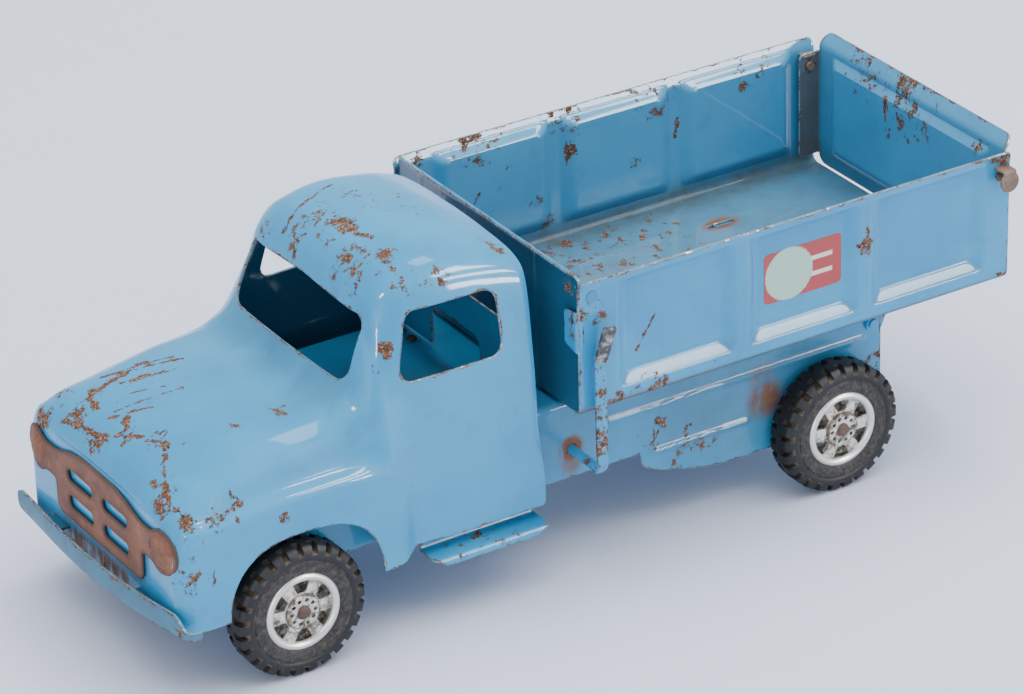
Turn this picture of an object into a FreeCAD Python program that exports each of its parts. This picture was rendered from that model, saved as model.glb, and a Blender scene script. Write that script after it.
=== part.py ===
import FreeCAD, Part
import math
import os

# Pressed-steel toy dump truck. Millimetres. +X is the front of the truck, +Y its left side, +Z up.
# The origin is on the ground, under the middle of the truck.

V = FreeCAD.Vector
os.makedirs("parts", exist_ok=True)

# ---- driving dimensions -------------------------------------------------------------------
wheelbase = 230.0
front_axle_x = 128.0
rear_axle_x = front_axle_x - wheelbase
tyre_radius = 25.4
tyre_width = 12.7
tyre_inner_y = 47.7
tyre_outer_y = tyre_inner_y + tyre_width
rim_radius = 14.1
axle_radius = 2.0
running_gap = 0.05
sheet = 1.0

chassis_half_width = 46.0
chassis_top_z = 65.5
chassis_flange_z = 34.5
chassis_skirt_z = 19.0
chassis_front_x = 166.0
chassis_rear_x = -129.0

bed_front_x = 14.0
bed_front_wall_x = bed_front_x - 2.0
bed_rear_x = -174.8
bed_wall_y = 62.4
bed_rim_y = 64.0
bed_bottom_z = 67.5
bed_top_z = 120.5
panel_depth = 3.0

hinge_x = -124.5
hinge_z = 57.5
bed_tilt_max = 35.0
lever_per_tilt = 1.4
lever_x = 7.5
lever_z = 45.4
lever_rod_radius = 1.8
crank_length = 80.0

gate_pin_x = -170.5
gate_pin_z = 111.0
gate_plate_x = -176.5
gate_half_width = 59.2
gate_flange_z = 73.0
outermost_y = 69.0

cab_rear_x = 25.0
cab_nose_x = 173.7
bumper_x = 180.0
bumper_low_z = 28.0
bumper_high_z = 36.5
bumper_tilt = 1.5


# ---- helpers ------------------------------------------------------------------------------
def box(x0, x1, y0, y1, z0, z1):
    return Part.makeBox(x1 - x0, y1 - y0, z1 - z0, V(x0, y0, z0))


def rod(x, z, radius, y0, y1):
    """A round bar along Y."""
    return Part.makeCylinder(radius, y1 - y0, V(x, y0, z), V(0, 1, 0))


def fuse(shapes):
    whole = shapes[0]
    for shape in shapes[1:]:
        whole = whole.fuse(shape)
    return whole.removeSplitter()


def cut(shape, tools):
    for tool in tools:
        shape = shape.cut(tool)
    return shape


def mirror_y(shape):
    return shape.mirror(V(0, 0, 0), V(0, 1, 0))


def rounded_face(corners, radius):
    """A flat face with straight sides and every corner rounded; corners are vectors in one plane."""
    edges = []
    count = len(corners)
    ends = []
    for i in range(count):
        here = corners[i]
        back = (corners[i - 1] - here).normalize()
        ahead = (corners[(i + 1) % count] - here).normalize()
        half = math.acos(max(-1.0, min(1.0, back.dot(ahead)))) / 2
        run = radius / math.tan(half)
        middle = (back + ahead).normalize()
        top = here + middle * (radius / math.sin(half) - radius)
        start = here + back * run
        finish = here + ahead * run
        edges.append(Part.Arc(start, top, finish).toShape())
        ends.append((start, finish))
    straight = []
    for i in range(count):
        straight.append(Part.LineSegment(ends[i][1], ends[(i + 1) % count][0]).toShape())
    loop = []
    for i in range(count):
        loop.append(edges[i])
        loop.append(straight[i])
    return Part.Face(Part.Wire(loop))


def plate_xz(points, y0, y1, radius=0.0):
    """A plate standing along the truck, from an outline of (x, z) points."""
    corners = [V(x, y0, z) for x, z in points]
    if radius:
        face = rounded_face(corners, radius)
    else:
        face = Part.Face(Part.makePolygon(corners + [corners[0]]))
    return face.extrude(V(0, y1 - y0, 0))


def plate_yz(points, x0, x1, radius=0.0):
    """A plate standing across the truck, from an outline of (y, z) points."""
    corners = [V(x0, y, z) for y, z in points]
    if radius:
        face = rounded_face(corners, radius)
    else:
        face = Part.Face(Part.makePolygon(corners + [corners[0]]))
    return face.extrude(V(x1 - x0, 0, 0))


def plate_xy(points, z0, z1, radius=0.0):
    corners = [V(x, y, z0) for x, y in points]
    if radius:
        face = rounded_face(corners, radius)
    else:
        face = Part.Face(Part.makePolygon(corners + [corners[0]]))
    return face.extrude(V(0, 0, z1 - z0))


def rectangle(a0, a1, b0, b1):
    return [(a0, b0), (a1, b0), (a1, b1), (a0, b1)]


def frustum(near, far):
    """A solid between two matching loops of vectors."""
    wires = [Part.makePolygon(loop + [loop[0]]) for loop in (near, far)]
    return Part.makeLoft(wires, True, True)


def save(name, shape):
    if shape.ShapeType == "Compound" and len(shape.Solids) == 1:
        shape = shape.Solids[0]
    if not shape.isValid():
        print("not valid:", name)
    print(f"{name:24s} solids {len(shape.Solids)} volume {shape.Volume:10.1f}")
    shape.exportStep(f"parts/{name}.step")


# ---- wheels and axles ---------------------------------------------------------------------
def revolve_about_axle(profile, x):
    """Turn an outline of (radius, y) points about a wheel's axle at x."""
    corners = [V(x + r, y, tyre_radius) for r, y in profile]
    face = Part.Face(Part.makePolygon(corners + [corners[0]]))
    return face.revolve(V(x, 0, tyre_radius), V(0, 1, 0), 360)


def make_tyre(x):
    mid = (tyre_inner_y + tyre_outer_y) / 2
    bead = rim_radius - 0.9
    half = [(bead, 4.5), (rim_radius + 0.1, 4.5), (rim_radius + 1.3, 5.4), (18.0, 6.1),
            (19.5, 6.35), (22.0, 6.3), (24.6, 5.4), (tyre_radius, 4.2)]
    outline = [(r, mid + y) for r, y in half] + [(r, mid - y) for r, y in reversed(half)]
    tyre = revolve_about_axle(outline, x)
    lugs = 26
    notches = []
    for i in range(lugs):
        for side, shift in ((1, 0.0), (-1, 0.5)):
            notch = box(-0.8, 0.8, -1.9, 1.9, 22.6, 26.5)
            notch.translate(V(0, mid + side * 4.9, 0))
            notch.rotate(V(0, 0, 0), V(0, 1, 0), 360.0 * (i + shift) / lugs)
            notch.translate(V(x, 0, tyre_radius))
            notches.append(notch)
    return tyre.cut(Part.makeCompound(notches))


def make_wheel_disc(x):
    """Plated wheel: raised outer ring, dished disc with six windows, raised boss with ten holes."""
    face_y = 59.2
    ring = rim_radius
    outline = [(axle_radius + running_gap, 47.0), (4.2, 47.0), (4.2, 50.0), (ring - 1.0, 50.0),
               (ring - 1.0, 58.6), (ring, 58.6), (ring, face_y), (ring - 0.5, face_y + 0.5),
               (ring - 1.7, face_y + 0.5), (ring - 2.5, face_y - 0.6), (7.0, face_y - 1.4),
               (6.5, face_y + 0.1), (axle_radius + running_gap, face_y + 0.1)]
    disc = revolve_about_axle(outline, x)
    cutters = []
    for i in range(6):
        window = plate_xz([(-1.9, 7.6), (1.9, 7.6), (3.5, 11.4), (-3.5, 11.4)], 52.0, 61.0)
        window.rotate(V(0, 0, 0), V(0, 1, 0), 60.0 * i + 30.0)
        cutters.append(window)
    for i in range(10):
        hole = Part.makeCylinder(0.62, 2.0, V(0, face_y - 1.2, 4.7), V(0, 1, 0))
        hole.rotate(V(0, 0, 0), V(0, 1, 0), 36.0 * i)
        cutters.append(hole)
    group = Part.makeCompound(cutters)
    group.translate(V(x, 0, tyre_radius))
    return disc.cut(group)


def make_axle(x):
    """Steel axle with peened ends that keep the wheels on."""
    end_y = 59.8
    bar = rod(x, tyre_radius, axle_radius, -end_y, end_y)
    head = Part.makeCone(2.9, 1.9, 1.7, V(x, end_y, tyre_radius), V(0, 1, 0))
    return fuse([bar, head, mirror_y(head)])


for name, x in (("front", front_axle_x), ("rear", rear_axle_x)):
    tyre = make_tyre(x)
    disc = make_wheel_disc(x)
    save(f"tyre_{name}_left", tyre)
    save(f"tyre_{name}_right", mirror_y(tyre))
    save(f"wheel_{name}_left", disc)
    save(f"wheel_{name}_right", mirror_y(disc))
    save(f"axle_{name}", make_axle(x))


# ---- chassis ------------------------------------------------------------------------------
def make_chassis():
    """Inverted channel with deep rear skirts, an opening for the lift, and an open rear end."""
    outline = [(chassis_rear_x, chassis_top_z), (chassis_rear_x, 24.0), (-122.0, chassis_skirt_z),
               (-58.0, chassis_skirt_z), (-45.0, 21.0), (-27.0, 26.0), (-23.0, 29.0),
               (-21.5, chassis_flange_z), (chassis_front_x, chassis_flange_z),
               (chassis_front_x, 60.0), (chassis_front_x - 8.0, chassis_top_z)]
    inner = chassis_half_width - sheet
    flange = plate_xz(outline, inner, chassis_half_width)
    top = box(-108.0, chassis_front_x - 8.0, -inner, inner, chassis_top_z - sheet, chassis_top_z)
    front = box(chassis_front_x - sheet, chassis_front_x, -inner, inner, chassis_flange_z, 60.0)
    beads = []
    for x0, x1, z in ((-122.0, -6.0, 52.0), (-70.0, -26.0, 33.5)):
        bead = Part.makeCylinder(1.5, x1 - x0, V(x0, chassis_half_width, z), V(1, 0, 0))
        beads.append(bead.common(box(x0, x1, chassis_half_width - 0.5, 50.0, z - 3, z + 3)))
    lip = box(150.0, chassis_front_x, -inner, inner, chassis_flange_z, chassis_flange_z + sheet)
    whole = fuse([flange, mirror_y(flange), top, front, lip] + beads + [mirror_y(b) for b in beads])
    bores = [rod(rear_axle_x, tyre_radius, axle_radius + running_gap, -60, 60),
             rod(lever_x, lever_z, lever_rod_radius + running_gap, -60, 60),
             rod(hinge_x, hinge_z, axle_radius + running_gap, -60, 60)]
    lift_opening = box(-86.0, -1.0, -11.0, 11.0, chassis_top_z - 5, chassis_top_z + 5)
    return cut(whole, bores + [lift_opening])


def make_axle_bracket():
    """Channel that hangs below the chassis to carry the front axle."""
    inner = chassis_half_width - 2 * sheet
    ear = [(front_axle_x - 14, 50.0), (front_axle_x - 6, 20.0), (front_axle_x + 6, 20.0),
           (front_axle_x + 14, 50.0)]
    side = plate_xz(ear, inner, inner + sheet)
    bridge = box(front_axle_x - 14, front_axle_x + 14, -inner, inner, 49.0, 50.0)
    bracket = fuse([side, mirror_y(side), bridge])
    return bracket.cut(rod(front_axle_x, tyre_radius, axle_radius + running_gap, -60, 60))


def make_running_board():
    """Step below the door: a flat tread with a turned-down lip and an upright flange."""
    tread = plate_xy(rectangle(25.0, 73.0, chassis_half_width, 58.6), 25.0, 26.0, 3.5)
    rib = box(30.0, 68.0, chassis_half_width, chassis_half_width + sheet, 25.0, 44.0)
    return fuse([tread, rib])


def strip_from_points(points, thick, z0, z1):
    """A bent strip of even thickness that follows (x, y) points, standing from z0 to z1."""
    left, right = [], []
    for i, (x, y) in enumerate(points):
        before = points[max(i - 1, 0)]
        after = points[min(i + 1, len(points) - 1)]
        along = V(after[0] - before[0], after[1] - before[1], 0).normalize()
        side = V(-along.y, along.x, 0) * (thick / 2)
        left.append((x + side.x, y + side.y))
        right.append((x - side.x, y - side.y))
    return plate_xy(left + right[::-1], z0, z1)


def bumper_centreline():
    """Gentle bow across the front, then a tight curl to the rear at each end."""
    points = []
    steps = 12
    span, bow, curl_radius = 60.0, 5.5, 3.4
    for i in range(-steps, steps + 1):
        y = span * i / steps
        points.append((bumper_x - bow * (y / span) ** 2, y))
    curl = []
    for i in range(1, 6):
        turn = math.radians(10 + 21 * i)
        curl_x = bumper_x - bow - curl_radius * (1 - math.cos(turn))
        curl.append((curl_x, span + curl_radius * math.sin(turn)))
    return [(x, -y) for x, y in reversed(curl)] + points + curl


save("chassis_frame", make_chassis())
save("axle_bracket_front", make_axle_bracket())
board = make_running_board()
save("running_board_left", board)
save("running_board_right", mirror_y(board))

bumper = strip_from_points(bumper_centreline(), 1.2, bumper_low_z, bumper_high_z)
bumper.rotate(V(0, 0, (bumper_low_z + bumper_high_z) / 2), V(1, 0, 0), bumper_tilt)
save("front_bumper", bumper)


def make_bumper_bracket():
    """Strap from the chassis lip, through the nose, turned down behind the bumper."""
    inner_y, outer_y = 26.0, 38.0
    back_of_bumper = bumper_x - 2.8
    strap = box(152.0, back_of_bumper, inner_y, outer_y, chassis_flange_z - sheet, chassis_flange_z)
    turned_up = box(back_of_bumper - sheet, back_of_bumper, inner_y, outer_y, 29.5, chassis_flange_z)
    return fuse([strap, turned_up])


bracket = make_bumper_bracket()
save("bumper_brackets", Part.makeCompound([bracket, mirror_y(bracket)]))


# ---- cab ----------------------------------------------------------------------------------
# Cross sections of the cab's outside, from the rear edge to the nose. Each one is (x, points),
# and the points are (y, z) from the bottom edge of the side, over the shoulder, to the middle.
cab_sections = [
    (cab_rear_x, [(52.5, 31), (53, 60), (53, 70), (52.5, 80),
            (51, 95), (47.5, 119), (44, 125), (33, 128.5), (0, 130)]),
    (42.0, [(52.5, 31), (53, 60), (53, 70), (52.5, 80),
            (51, 95), (47.8, 119), (44.5, 127.5), (32, 133.5), (0, 136)]),
    (60.0, [(52.5, 31), (53, 60), (53, 70), (52.5, 80),
            (51, 95), (47.5, 120), (44.2, 129.2), (32, 135.8), (0, 137.9)]),
    (76.0, [(53, 32.5), (53.5, 60), (53.4, 70), (52.8, 80),
            (50.5, 95), (46, 119.5), (42, 128.3), (30, 133.5), (0, 135.8)]),
    (85.0, [(57, 29.3), (57, 62), (56, 70), (54.2, 79),
            (50.5, 94), (42.3, 117), (38.8, 122.5), (28, 126.5), (0, 128.5)]),
    (88.0, [(57.5, 29), (57.5, 64), (56.5, 70), (54.5, 78),
            (50.8, 93), (40.2, 113), (36.3, 118), (25, 121.3), (0, 123)]),
    (97.0, [(57.5, 29), (57.5, 66), (56.7, 69.2), (54.3, 76),
            (49.4, 87), (44, 92), (39.4, 95), (24, 97), (0, 97.6)]),
    (103.0, [(57.5, 29), (57.5, 66.3), (56.8, 69.3), (54.2, 75),
             (49, 84.4), (43.8, 88), (38.8, 89.6), (24, 90.3), (0, 90.5)]),
    (105.0, [(57.5, 29), (57.5, 66.5), (56.8, 69.4), (54.2, 74.6),
             (48.9, 83.8), (43.6, 87), (38.6, 88.5), (24, 89.2), (0, 89.4)]),
    (128.0, [(57.5, 29), (57.5, 67), (56.8, 69.8), (54.2, 74),
             (49.8, 80.2), (45, 83.8), (39.4, 86.2), (23, 87.8), (0, 88.2)]),
    (150.0, [(57.5, 29), (57.5, 64.6), (56.7, 67.6), (54.2, 71.6),
             (50, 76.4), (44.8, 80), (38.8, 82.2), (22, 84), (0, 84.6)]),
    (164.0, [(57.4, 29), (57.3, 60), (56.4, 65.6), (54.5, 69.8),
             (51, 73.4), (45.5, 76.4), (38.5, 78.1), (22, 79.4), (0, 79.9)]),
    (168.5, [(57, 29), (56.9, 59), (56.1, 64.9), (54.3, 68.8),
             (50.8, 71.8), (45, 74), (38, 75.1), (21, 76.2), (0, 76.6)]),
    (171.3, [(55.4, 29), (55.3, 58), (54.6, 63.3), (52.8, 67),
             (49.4, 69.6), (44, 71.2), (37, 72), (21, 72.9), (0, 73.2)]),
    (cab_nose_x, [(52.8, 29), (52.7, 57), (52, 61.6), (50, 65),
                  (46.8, 67.2), (42, 68.5), (36, 69.1), (20, 69.7), (0, 69.9)]),
]


def section_wire(x, points, inset, bottom):
    """A closed section, mirrored about the middle, drawn in by inset on its sides and top."""
    half = []
    for y, z in points:
        pull = inset if z > 32 else 0.0
        half.append((max(y - inset, 0.0), z - pull))
    half[0] = (half[0][0], bottom)
    left = [V(x, y, z) for y, z in half]
    right = [V(x, -y, z) for y, z in reversed(half[:-1])]
    loop = left + right
    return Part.makePolygon(loop + [loop[0]])


def cab_solid(inset, bottom_drop):
    wires = []
    for x, points in cab_sections:
        bottom = points[0][1] - bottom_drop
        x = min(max(x, cab_rear_x + inset), cab_nose_x - inset)
        wires.append(section_wire(x, points, inset, bottom))
    return Part.makeLoft(wires, True, True)


side_window = [(38.0, 95.5), (81.0, 95.5), (75.0, 121.0), (39.0, 121.0)]
windscreen = [(-39.5, 96.5), (39.5, 96.5), (38.7, 119.6), (0.0, 121.8), (-38.7, 119.6)]


def wheel_arch():
    """Outline of the front wheel opening: a squarish oval about a point behind the axle."""
    middle_x, middle_z = front_axle_x - 4.0, 24.5
    half_length, height, power = 31.3, 30.8, 2.6
    points = []
    for i in range(48):
        turn = 2 * math.pi * (i + 0.5) / 48
        along = math.copysign(abs(math.cos(turn)) ** (2 / power), math.cos(turn))
        up = math.copysign(abs(math.sin(turn)) ** (2 / power), math.sin(turn))
        points.append((middle_x + half_length * along, middle_z + height * up))
    return points


def make_cab_shell():
    """Roof, doors, fenders and nose in one pressing, open below, its rear edge turned in."""
    outside = cab_solid(0.0, 0.0)
    inside = cab_solid(1.2, 6.0)
    over = chassis_half_width + 1.0
    hole_outline = [(-over, 20), (over, 20), (over, 66.5), (40, 66.5), (38, 118), (-38, 118),
                    (-40, 66.5), (-over, 66.5)]
    rear_hole = plate_yz(hole_outline, 20.0, 30.0)
    arch = plate_xz(wheel_arch(), 48.0, 60.0)
    door_window = plate_xz(side_window, 38.0, 60.0, 5.0)
    screen = plate_yz(windscreen, 83.0, 102.0, 5.0)
    slot = box(170.0, 180.0, 25.6, 38.4, chassis_flange_z - 1.3, chassis_flange_z + 0.3)
    sides = [arch, door_window, slot]
    shell = cut(outside, [inside, rear_hole, screen] + sides + [mirror_y(tool) for tool in sides])
    return shell


def make_cab_back_panel():
    """Plate inside the turned-in rear edge, with the rear window and a notch over the chassis."""
    outline = [(-50.0, 68.0), (50.0, 68.0), (49.0, 94.0), (45.5, 118.0), (41.0, 123.0), (0.0, 127.5),
               (-41.0, 123.0), (-45.5, 118.0), (-49.0, 94.0)]
    panel = plate_yz(outline, 26.2, 27.2)
    window = plate_yz(rectangle(-33.0, 33.0, 98.0, 117.0), 20.0, 30.0, 4.0)
    notch = plate_yz(rectangle(-17.0, 17.0, 60.0, 84.0), 20.0, 30.0, 5.0)
    foot = box(26.2, 34.0, 20.0, 40.0, chassis_top_z, chassis_top_z + sheet)
    leg = box(26.2, 27.2, 20.0, 40.0, chassis_top_z, 69.0)
    feet = fuse([foot, leg])
    return fuse([cut(panel, [window, notch]), feet, mirror_y(feet)])


def make_grille():
    """Flat plate with four slots, and a round domed lamp at each end of its neck."""
    x0, x1 = cab_nose_x, cab_nose_x + 1.2
    lamp_y, lamp_z, lamp_radius = 46.0, 58.0, 8.4
    outline = [(-29, 39.5), (29, 39.5), (31.5, 42), (32, 63), (22, 66.5), (12, 68.6), (-12, 68.6),
               (-22, 66.5), (-32, 63), (-31.5, 42)]
    middle = plate_yz(outline, x0, x1)
    neck = box(x0, x1, 30.0, lamp_y, 52.0, 63.6)
    lamp = Part.makeCylinder(lamp_radius, x1 - x0, V(x0, lamp_y, lamp_z), V(1, 0, 0))
    dome = Part.makeCone(5.8, 4.0, 1.2, V(x1, lamp_y, lamp_z), V(1, 0, 0))
    ends = [neck, lamp, dome]
    slots = []
    for y0 in (-22.0, 3.8):
        for z0, z1 in ((45.0, 50.0), (55.8, 60.5)):
            slots.append(plate_yz(rectangle(y0, y0 + 18.2, z0, z1), x0 - 1, x1 + 1, 1.8))
    return cut(fuse([middle] + ends + [mirror_y(end) for end in ends]), slots)


def make_cab_rivets():
    """Rivets through the back panel's feet into the chassis top."""
    rivets = []
    for y in (-34.0, -26.0, 26.0, 34.0):
        rivets.append(Part.makeCone(2.0, 1.2, 1.0, V(30.5, y, chassis_top_z + sheet), V(0, 0, 1)))
    return Part.makeCompound(rivets)


save("cab_shell", make_cab_shell())
save("cab_back_panel", make_cab_back_panel())
save("cab_rivets", make_cab_rivets())
save("grille_plate", make_grille())


# ---- dump bed -----------------------------------------------------------------------------
panel_spans = [(-53.0, -2.0), (-107.0, -58.0), (-164.0, -112.0)]


def pressed_panel(x0, x1, y, z0, z1, depth, bevel, direction):
    """A frustum from a rectangle at y, drawn in along direction by depth."""
    near = [V(x0, y, z0), V(x1, y, z0), V(x1, y, z1), V(x0, y, z1)]
    far_y = y + direction * depth
    far = [V(x0 + bevel, far_y, z0 + bevel), V(x1 - bevel, far_y, z0 + bevel),
           V(x1 - bevel, far_y, z1 - bevel / 2), V(x0 + bevel, far_y, z1 - bevel / 2)]
    return frustum(near, far)


def make_bed_tub():
    """Floor and both side walls from one sheet, three panels pressed into each wall."""
    inner = bed_wall_y - sheet
    corner = 4.0
    wall = box(bed_rear_x, bed_front_x, inner, bed_wall_y, bed_bottom_z + corner, bed_top_z - 4.0)
    rim_face = Part.Face(Part.makePolygon([
        V(bed_rear_x, inner, bed_top_z - 4), V(bed_rear_x, bed_wall_y, bed_top_z - 4),
        V(bed_rear_x, bed_rim_y, bed_top_z), V(bed_rear_x, bed_rim_y - 1.1, bed_top_z),
        V(bed_rear_x, inner, bed_top_z - 4)]))
    rim = rim_face.extrude(V(bed_front_x - bed_rear_x, 0, 0))
    bend_mid = V(0, bed_wall_y - corner, bed_bottom_z + corner)
    bend_start = V(bed_rear_x, bend_mid.y, bend_mid.z)
    bend = Part.makeCylinder(corner, bed_front_x - bed_rear_x, bend_start, V(1, 0, 0))
    hollow = Part.makeCylinder(corner - sheet, bed_front_x - bed_rear_x, bend_start, V(1, 0, 0))
    quarter = box(bed_rear_x, bed_front_x, bend_mid.y, bed_wall_y, bed_bottom_z, bend_mid.z)
    bend = bend.common(quarter).cut(hollow)
    bumps = []
    dents = []
    for x0, x1 in panel_spans:
        bumps.append(pressed_panel(x0, x1, inner, 74.0, 117.0, panel_depth, 5.0, -1))
        dents.append(pressed_panel(x0, x1, bed_wall_y, 74.0, 117.0, panel_depth, 5.0, -1))
    side = cut(fuse([wall, rim, bend] + bumps), dents)
    pin_hole = rod(gate_pin_x, gate_pin_z, 1.6 + running_gap, 50.0, 70.0)
    side = side.cut(pin_hole)
    floor_top = bed_bottom_z + sheet
    floor = box(bed_rear_x, bed_front_wall_x, -bend_mid.y, bend_mid.y, bed_bottom_z, floor_top)
    tub = fuse([floor, side, mirror_y(side)])
    tab_slot = box(-119.0, -107.0, 35.0, 36.8, 60.0, 72.0)
    return cut(tub, [tab_slot, mirror_y(tab_slot)])


def make_bed_front_wall():
    """Front wall inside the tub's end, its top edge rolled forward and its ends turned back."""
    inner = bed_wall_y - sheet
    foot = inner - 6.0
    outline = [(-inner, bed_bottom_z + 6.0), (-foot, bed_bottom_z), (foot, bed_bottom_z),
               (inner, bed_bottom_z + 6.0), (inner, 117.0), (inner - 7.0, 122.5), (-inner + 7.0, 122.5),
               (-inner, 117.0)]
    wall = plate_yz(outline, bed_front_wall_x, bed_front_wall_x + sheet)
    roll = box(bed_front_wall_x, bed_front_x + 1.5, -inner + 7.0, inner - 7.0, 121.5, 122.5)
    return fuse([wall, roll])


def make_corner_rivets():
    """Flush plug rivets that tie each side wall to the front wall's turned ends."""
    plug = Part.makeCylinder(2.4, 0.5, V(8.5, bed_wall_y, 114.0), V(0, 1, 0))
    return Part.makeCompound([plug, mirror_y(plug)])


def make_hinge_bracket():
    """Cross plate under the bed floor with an ear inside each chassis flange."""
    half = chassis_half_width - sheet - 0.6
    front, rear = hinge_x + 13.5, hinge_x - 12.5
    foot_z = hinge_z - 4.5
    ear_outline = [(rear, bed_bottom_z), (front, bed_bottom_z), (hinge_x + 6.0, foot_z),
                   (hinge_x - 6.0, foot_z)]
    ear = plate_xz(ear_outline, half - 1.2, half)
    plate = box(rear, front, -half, half, bed_bottom_z - sheet, bed_bottom_z)
    bracket = fuse([plate, ear, mirror_y(ear)])
    return bracket.cut(rod(hinge_x, hinge_z, axle_radius + running_gap, -60, 60))


def cam_point(lever_turn):
    """Where the crank pin lies in the bed's own frame when the lever has turned by lever_turn."""
    tilt = math.radians(lever_turn / lever_per_tilt)
    turn = math.radians(lever_turn)
    x = lever_x - crank_length * math.cos(turn) - hinge_x
    z = lever_z + crank_length * math.sin(turn) - hinge_z
    bed_x = x * math.cos(tilt) + z * math.sin(tilt)
    bed_z = z * math.cos(tilt) - x * math.sin(tilt)
    return V(hinge_x + bed_x, 0, hinge_z + bed_z)


def make_lift_bracket():
    """Two cheeks under the floor, each with the curved slot that the crank pin runs in."""
    outline = [(-80.0, bed_bottom_z), (-24.0, bed_bottom_z), (-24.0, 45.0), (-36.0, 45.0), (-60.0, 55.0),
               (-69.0, 40.0), (-80.0, 40.0)]
    cheek = plate_xz(outline, 4.0, 5.2)
    cap = box(-80.0, -24.0, -5.2, 5.2, bed_bottom_z - sheet, bed_bottom_z)
    slot_radius = 2.0 + 0.4
    steps = 22
    most = bed_tilt_max * lever_per_tilt
    cutters = []
    for i in range(steps + 1):
        point = cam_point(most * i / steps)
        cutters.append(rod(point.x, point.z, slot_radius, -8, 8))
    for i in range(steps):
        a = cam_point(most * i / steps)
        b = cam_point(most * (i + 1) / steps)
        along = (b - a).normalize()
        side = V(-along.z, 0, along.x) * slot_radius
        corners = [(p.x, p.z) for p in (a + side, b + side, b - side, a - side)]
        cutters.append(plate_xz(corners, -8, 8))
    bracket = fuse([cheek, mirror_y(cheek), cap])
    return bracket.cut(fuse(cutters))


save("bed_tub", make_bed_tub())
save("bed_front_wall", make_bed_front_wall())
save("bed_corner_rivets", make_corner_rivets())
save("bed_hinge_bracket", make_hinge_bracket())
save("lift_bracket", make_lift_bracket())

hinge_rod = rod(hinge_x, hinge_z, axle_radius, -48.5, 48.5)
hinge_head = rod(hinge_x, hinge_z, 3.0, chassis_half_width + 0.3, chassis_half_width + 1.6)
save("bed_hinge_rod", fuse([hinge_rod, hinge_head, mirror_y(hinge_head)]))

decal = box(-101.0, -67.0, bed_wall_y - panel_depth, bed_wall_y - panel_depth + 0.15, 84.0, 110.0)
save("decal_left", decal)
save("decal_right", mirror_y(decal))


# ---- tailgate -----------------------------------------------------------------------------
def make_tailgate():
    """Pan with side flanges inside the bed walls, a pressed panel and a rear-rolled top edge."""
    low, high = bed_bottom_z + 1.5, 119.0
    lip_x, lip_top = -180.8, 123.0
    flange_front = gate_pin_x + 4.5
    flange_y = gate_half_width - sheet
    plate = box(gate_plate_x, gate_plate_x + sheet, -gate_half_width, gate_half_width, low, high)
    flange = box(gate_plate_x, flange_front, flange_y, gate_half_width, gate_flange_z, 116.0)
    lip_outline = [(gate_plate_x, high - sheet), (gate_plate_x + sheet, high - sheet),
                   (lip_x + 1.2, lip_top), (lip_x, lip_top)]
    lip = plate_xz(lip_outline, -gate_half_width, gate_half_width)
    near = [V(gate_plate_x + sheet, y, z) for y, z in rectangle(-50.0, 50.0, 74.0, 116.0)]
    far = [V(gate_plate_x + sheet + 2.5, y, z) for y, z in rectangle(-46.0, 46.0, 78.5, 113.0)]
    bump = frustum(near, far)
    dent = frustum([p - V(sheet, 0, 0) for p in near], [p - V(sheet, 0, 0) for p in far])
    gate = fuse([plate, flange, mirror_y(flange), lip, bump]).cut(dent)
    bore = rod(gate_pin_x, gate_pin_z, 1.6, -70, 70)
    return gate.cut(bore)


def make_gate_ear():
    """Hinge ear: a pin through gate flange and bed wall, with a round flat head outside."""
    pin = rod(gate_pin_x, gate_pin_z, 1.6, gate_half_width - sheet, outermost_y - 1.2)
    head = rod(gate_pin_x, gate_pin_z, 3.8, outermost_y - 1.2, outermost_y)
    return fuse([pin, head])


ear = make_gate_ear()
save("tailgate_panel", make_tailgate())
save("tailgate_ear_left", ear)
save("tailgate_ear_right", mirror_y(ear))


# ---- dump lever and lift crank ------------------------------------------------------------
def make_dump_lever():
    """Cross rod, bent up outside the left flange into a flat strip with an angled grip."""
    strip_y = 66.0
    cross = rod(lever_x, lever_z, lever_rod_radius, -49.0, strip_y)
    strip = plate_xz([(lever_x - 2.2, lever_z - 2.5), (lever_x + 2.2, lever_z - 2.5), (lever_x + 2.6, 90.0),
                      (lever_x - 1.8, 90.0)], 65.2, 66.8)
    grip_low = [V(lever_x - 2.3, 65.2, 89.0), V(lever_x + 3.1, 65.2, 89.0), V(lever_x + 3.1, 66.8, 89.0),
                V(lever_x - 2.3, 66.8, 89.0)]
    grip_high = [p + V(-3.2, outermost_y - 66.8, 15.0) for p in grip_low]
    return fuse([cross, strip, frustum(grip_low, grip_high)])


def make_lift_crank():
    """Arm clamped on the cross rod; it reaches back between the lift bracket's cheeks."""
    tip_x = lever_x - crank_length
    arm_outline = [(lever_x, lever_z - 4.0), (lever_x, lever_z + 4.0), (tip_x, lever_z + 3.2),
                   (tip_x, lever_z - 3.2)]
    arm = plate_xz(arm_outline, -1.2, 1.2)
    boss = rod(lever_x, lever_z, 4.5, -5.0, 5.0)
    tip = rod(tip_x, lever_z, 3.2, -1.2, 1.2)
    crank = fuse([arm, boss, tip])
    bores = [rod(lever_x, lever_z, lever_rod_radius, -60, 60), rod(tip_x, lever_z, 2.0, -60, 60)]
    return cut(crank, bores)


def make_rod_clip():
    """Push-on clip that keeps the cross rod from sliding out of the right flange."""
    ring = rod(lever_x, lever_z, 3.6, -(chassis_half_width + 1.4), -(chassis_half_width + 0.4))
    return ring.cut(rod(lever_x, lever_z, lever_rod_radius, -60, 60))


save("dump_lever", make_dump_lever())
save("lift_crank", make_lift_crank())
save("crank_pin", rod(lever_x - crank_length, lever_z, 2.0, -6.2, 6.2))
save("lever_clip", make_rod_clip())
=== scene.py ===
import math

import bpy
import numpy as np
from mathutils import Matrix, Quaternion, Vector
from mathutils.kdtree import KDTree


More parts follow.
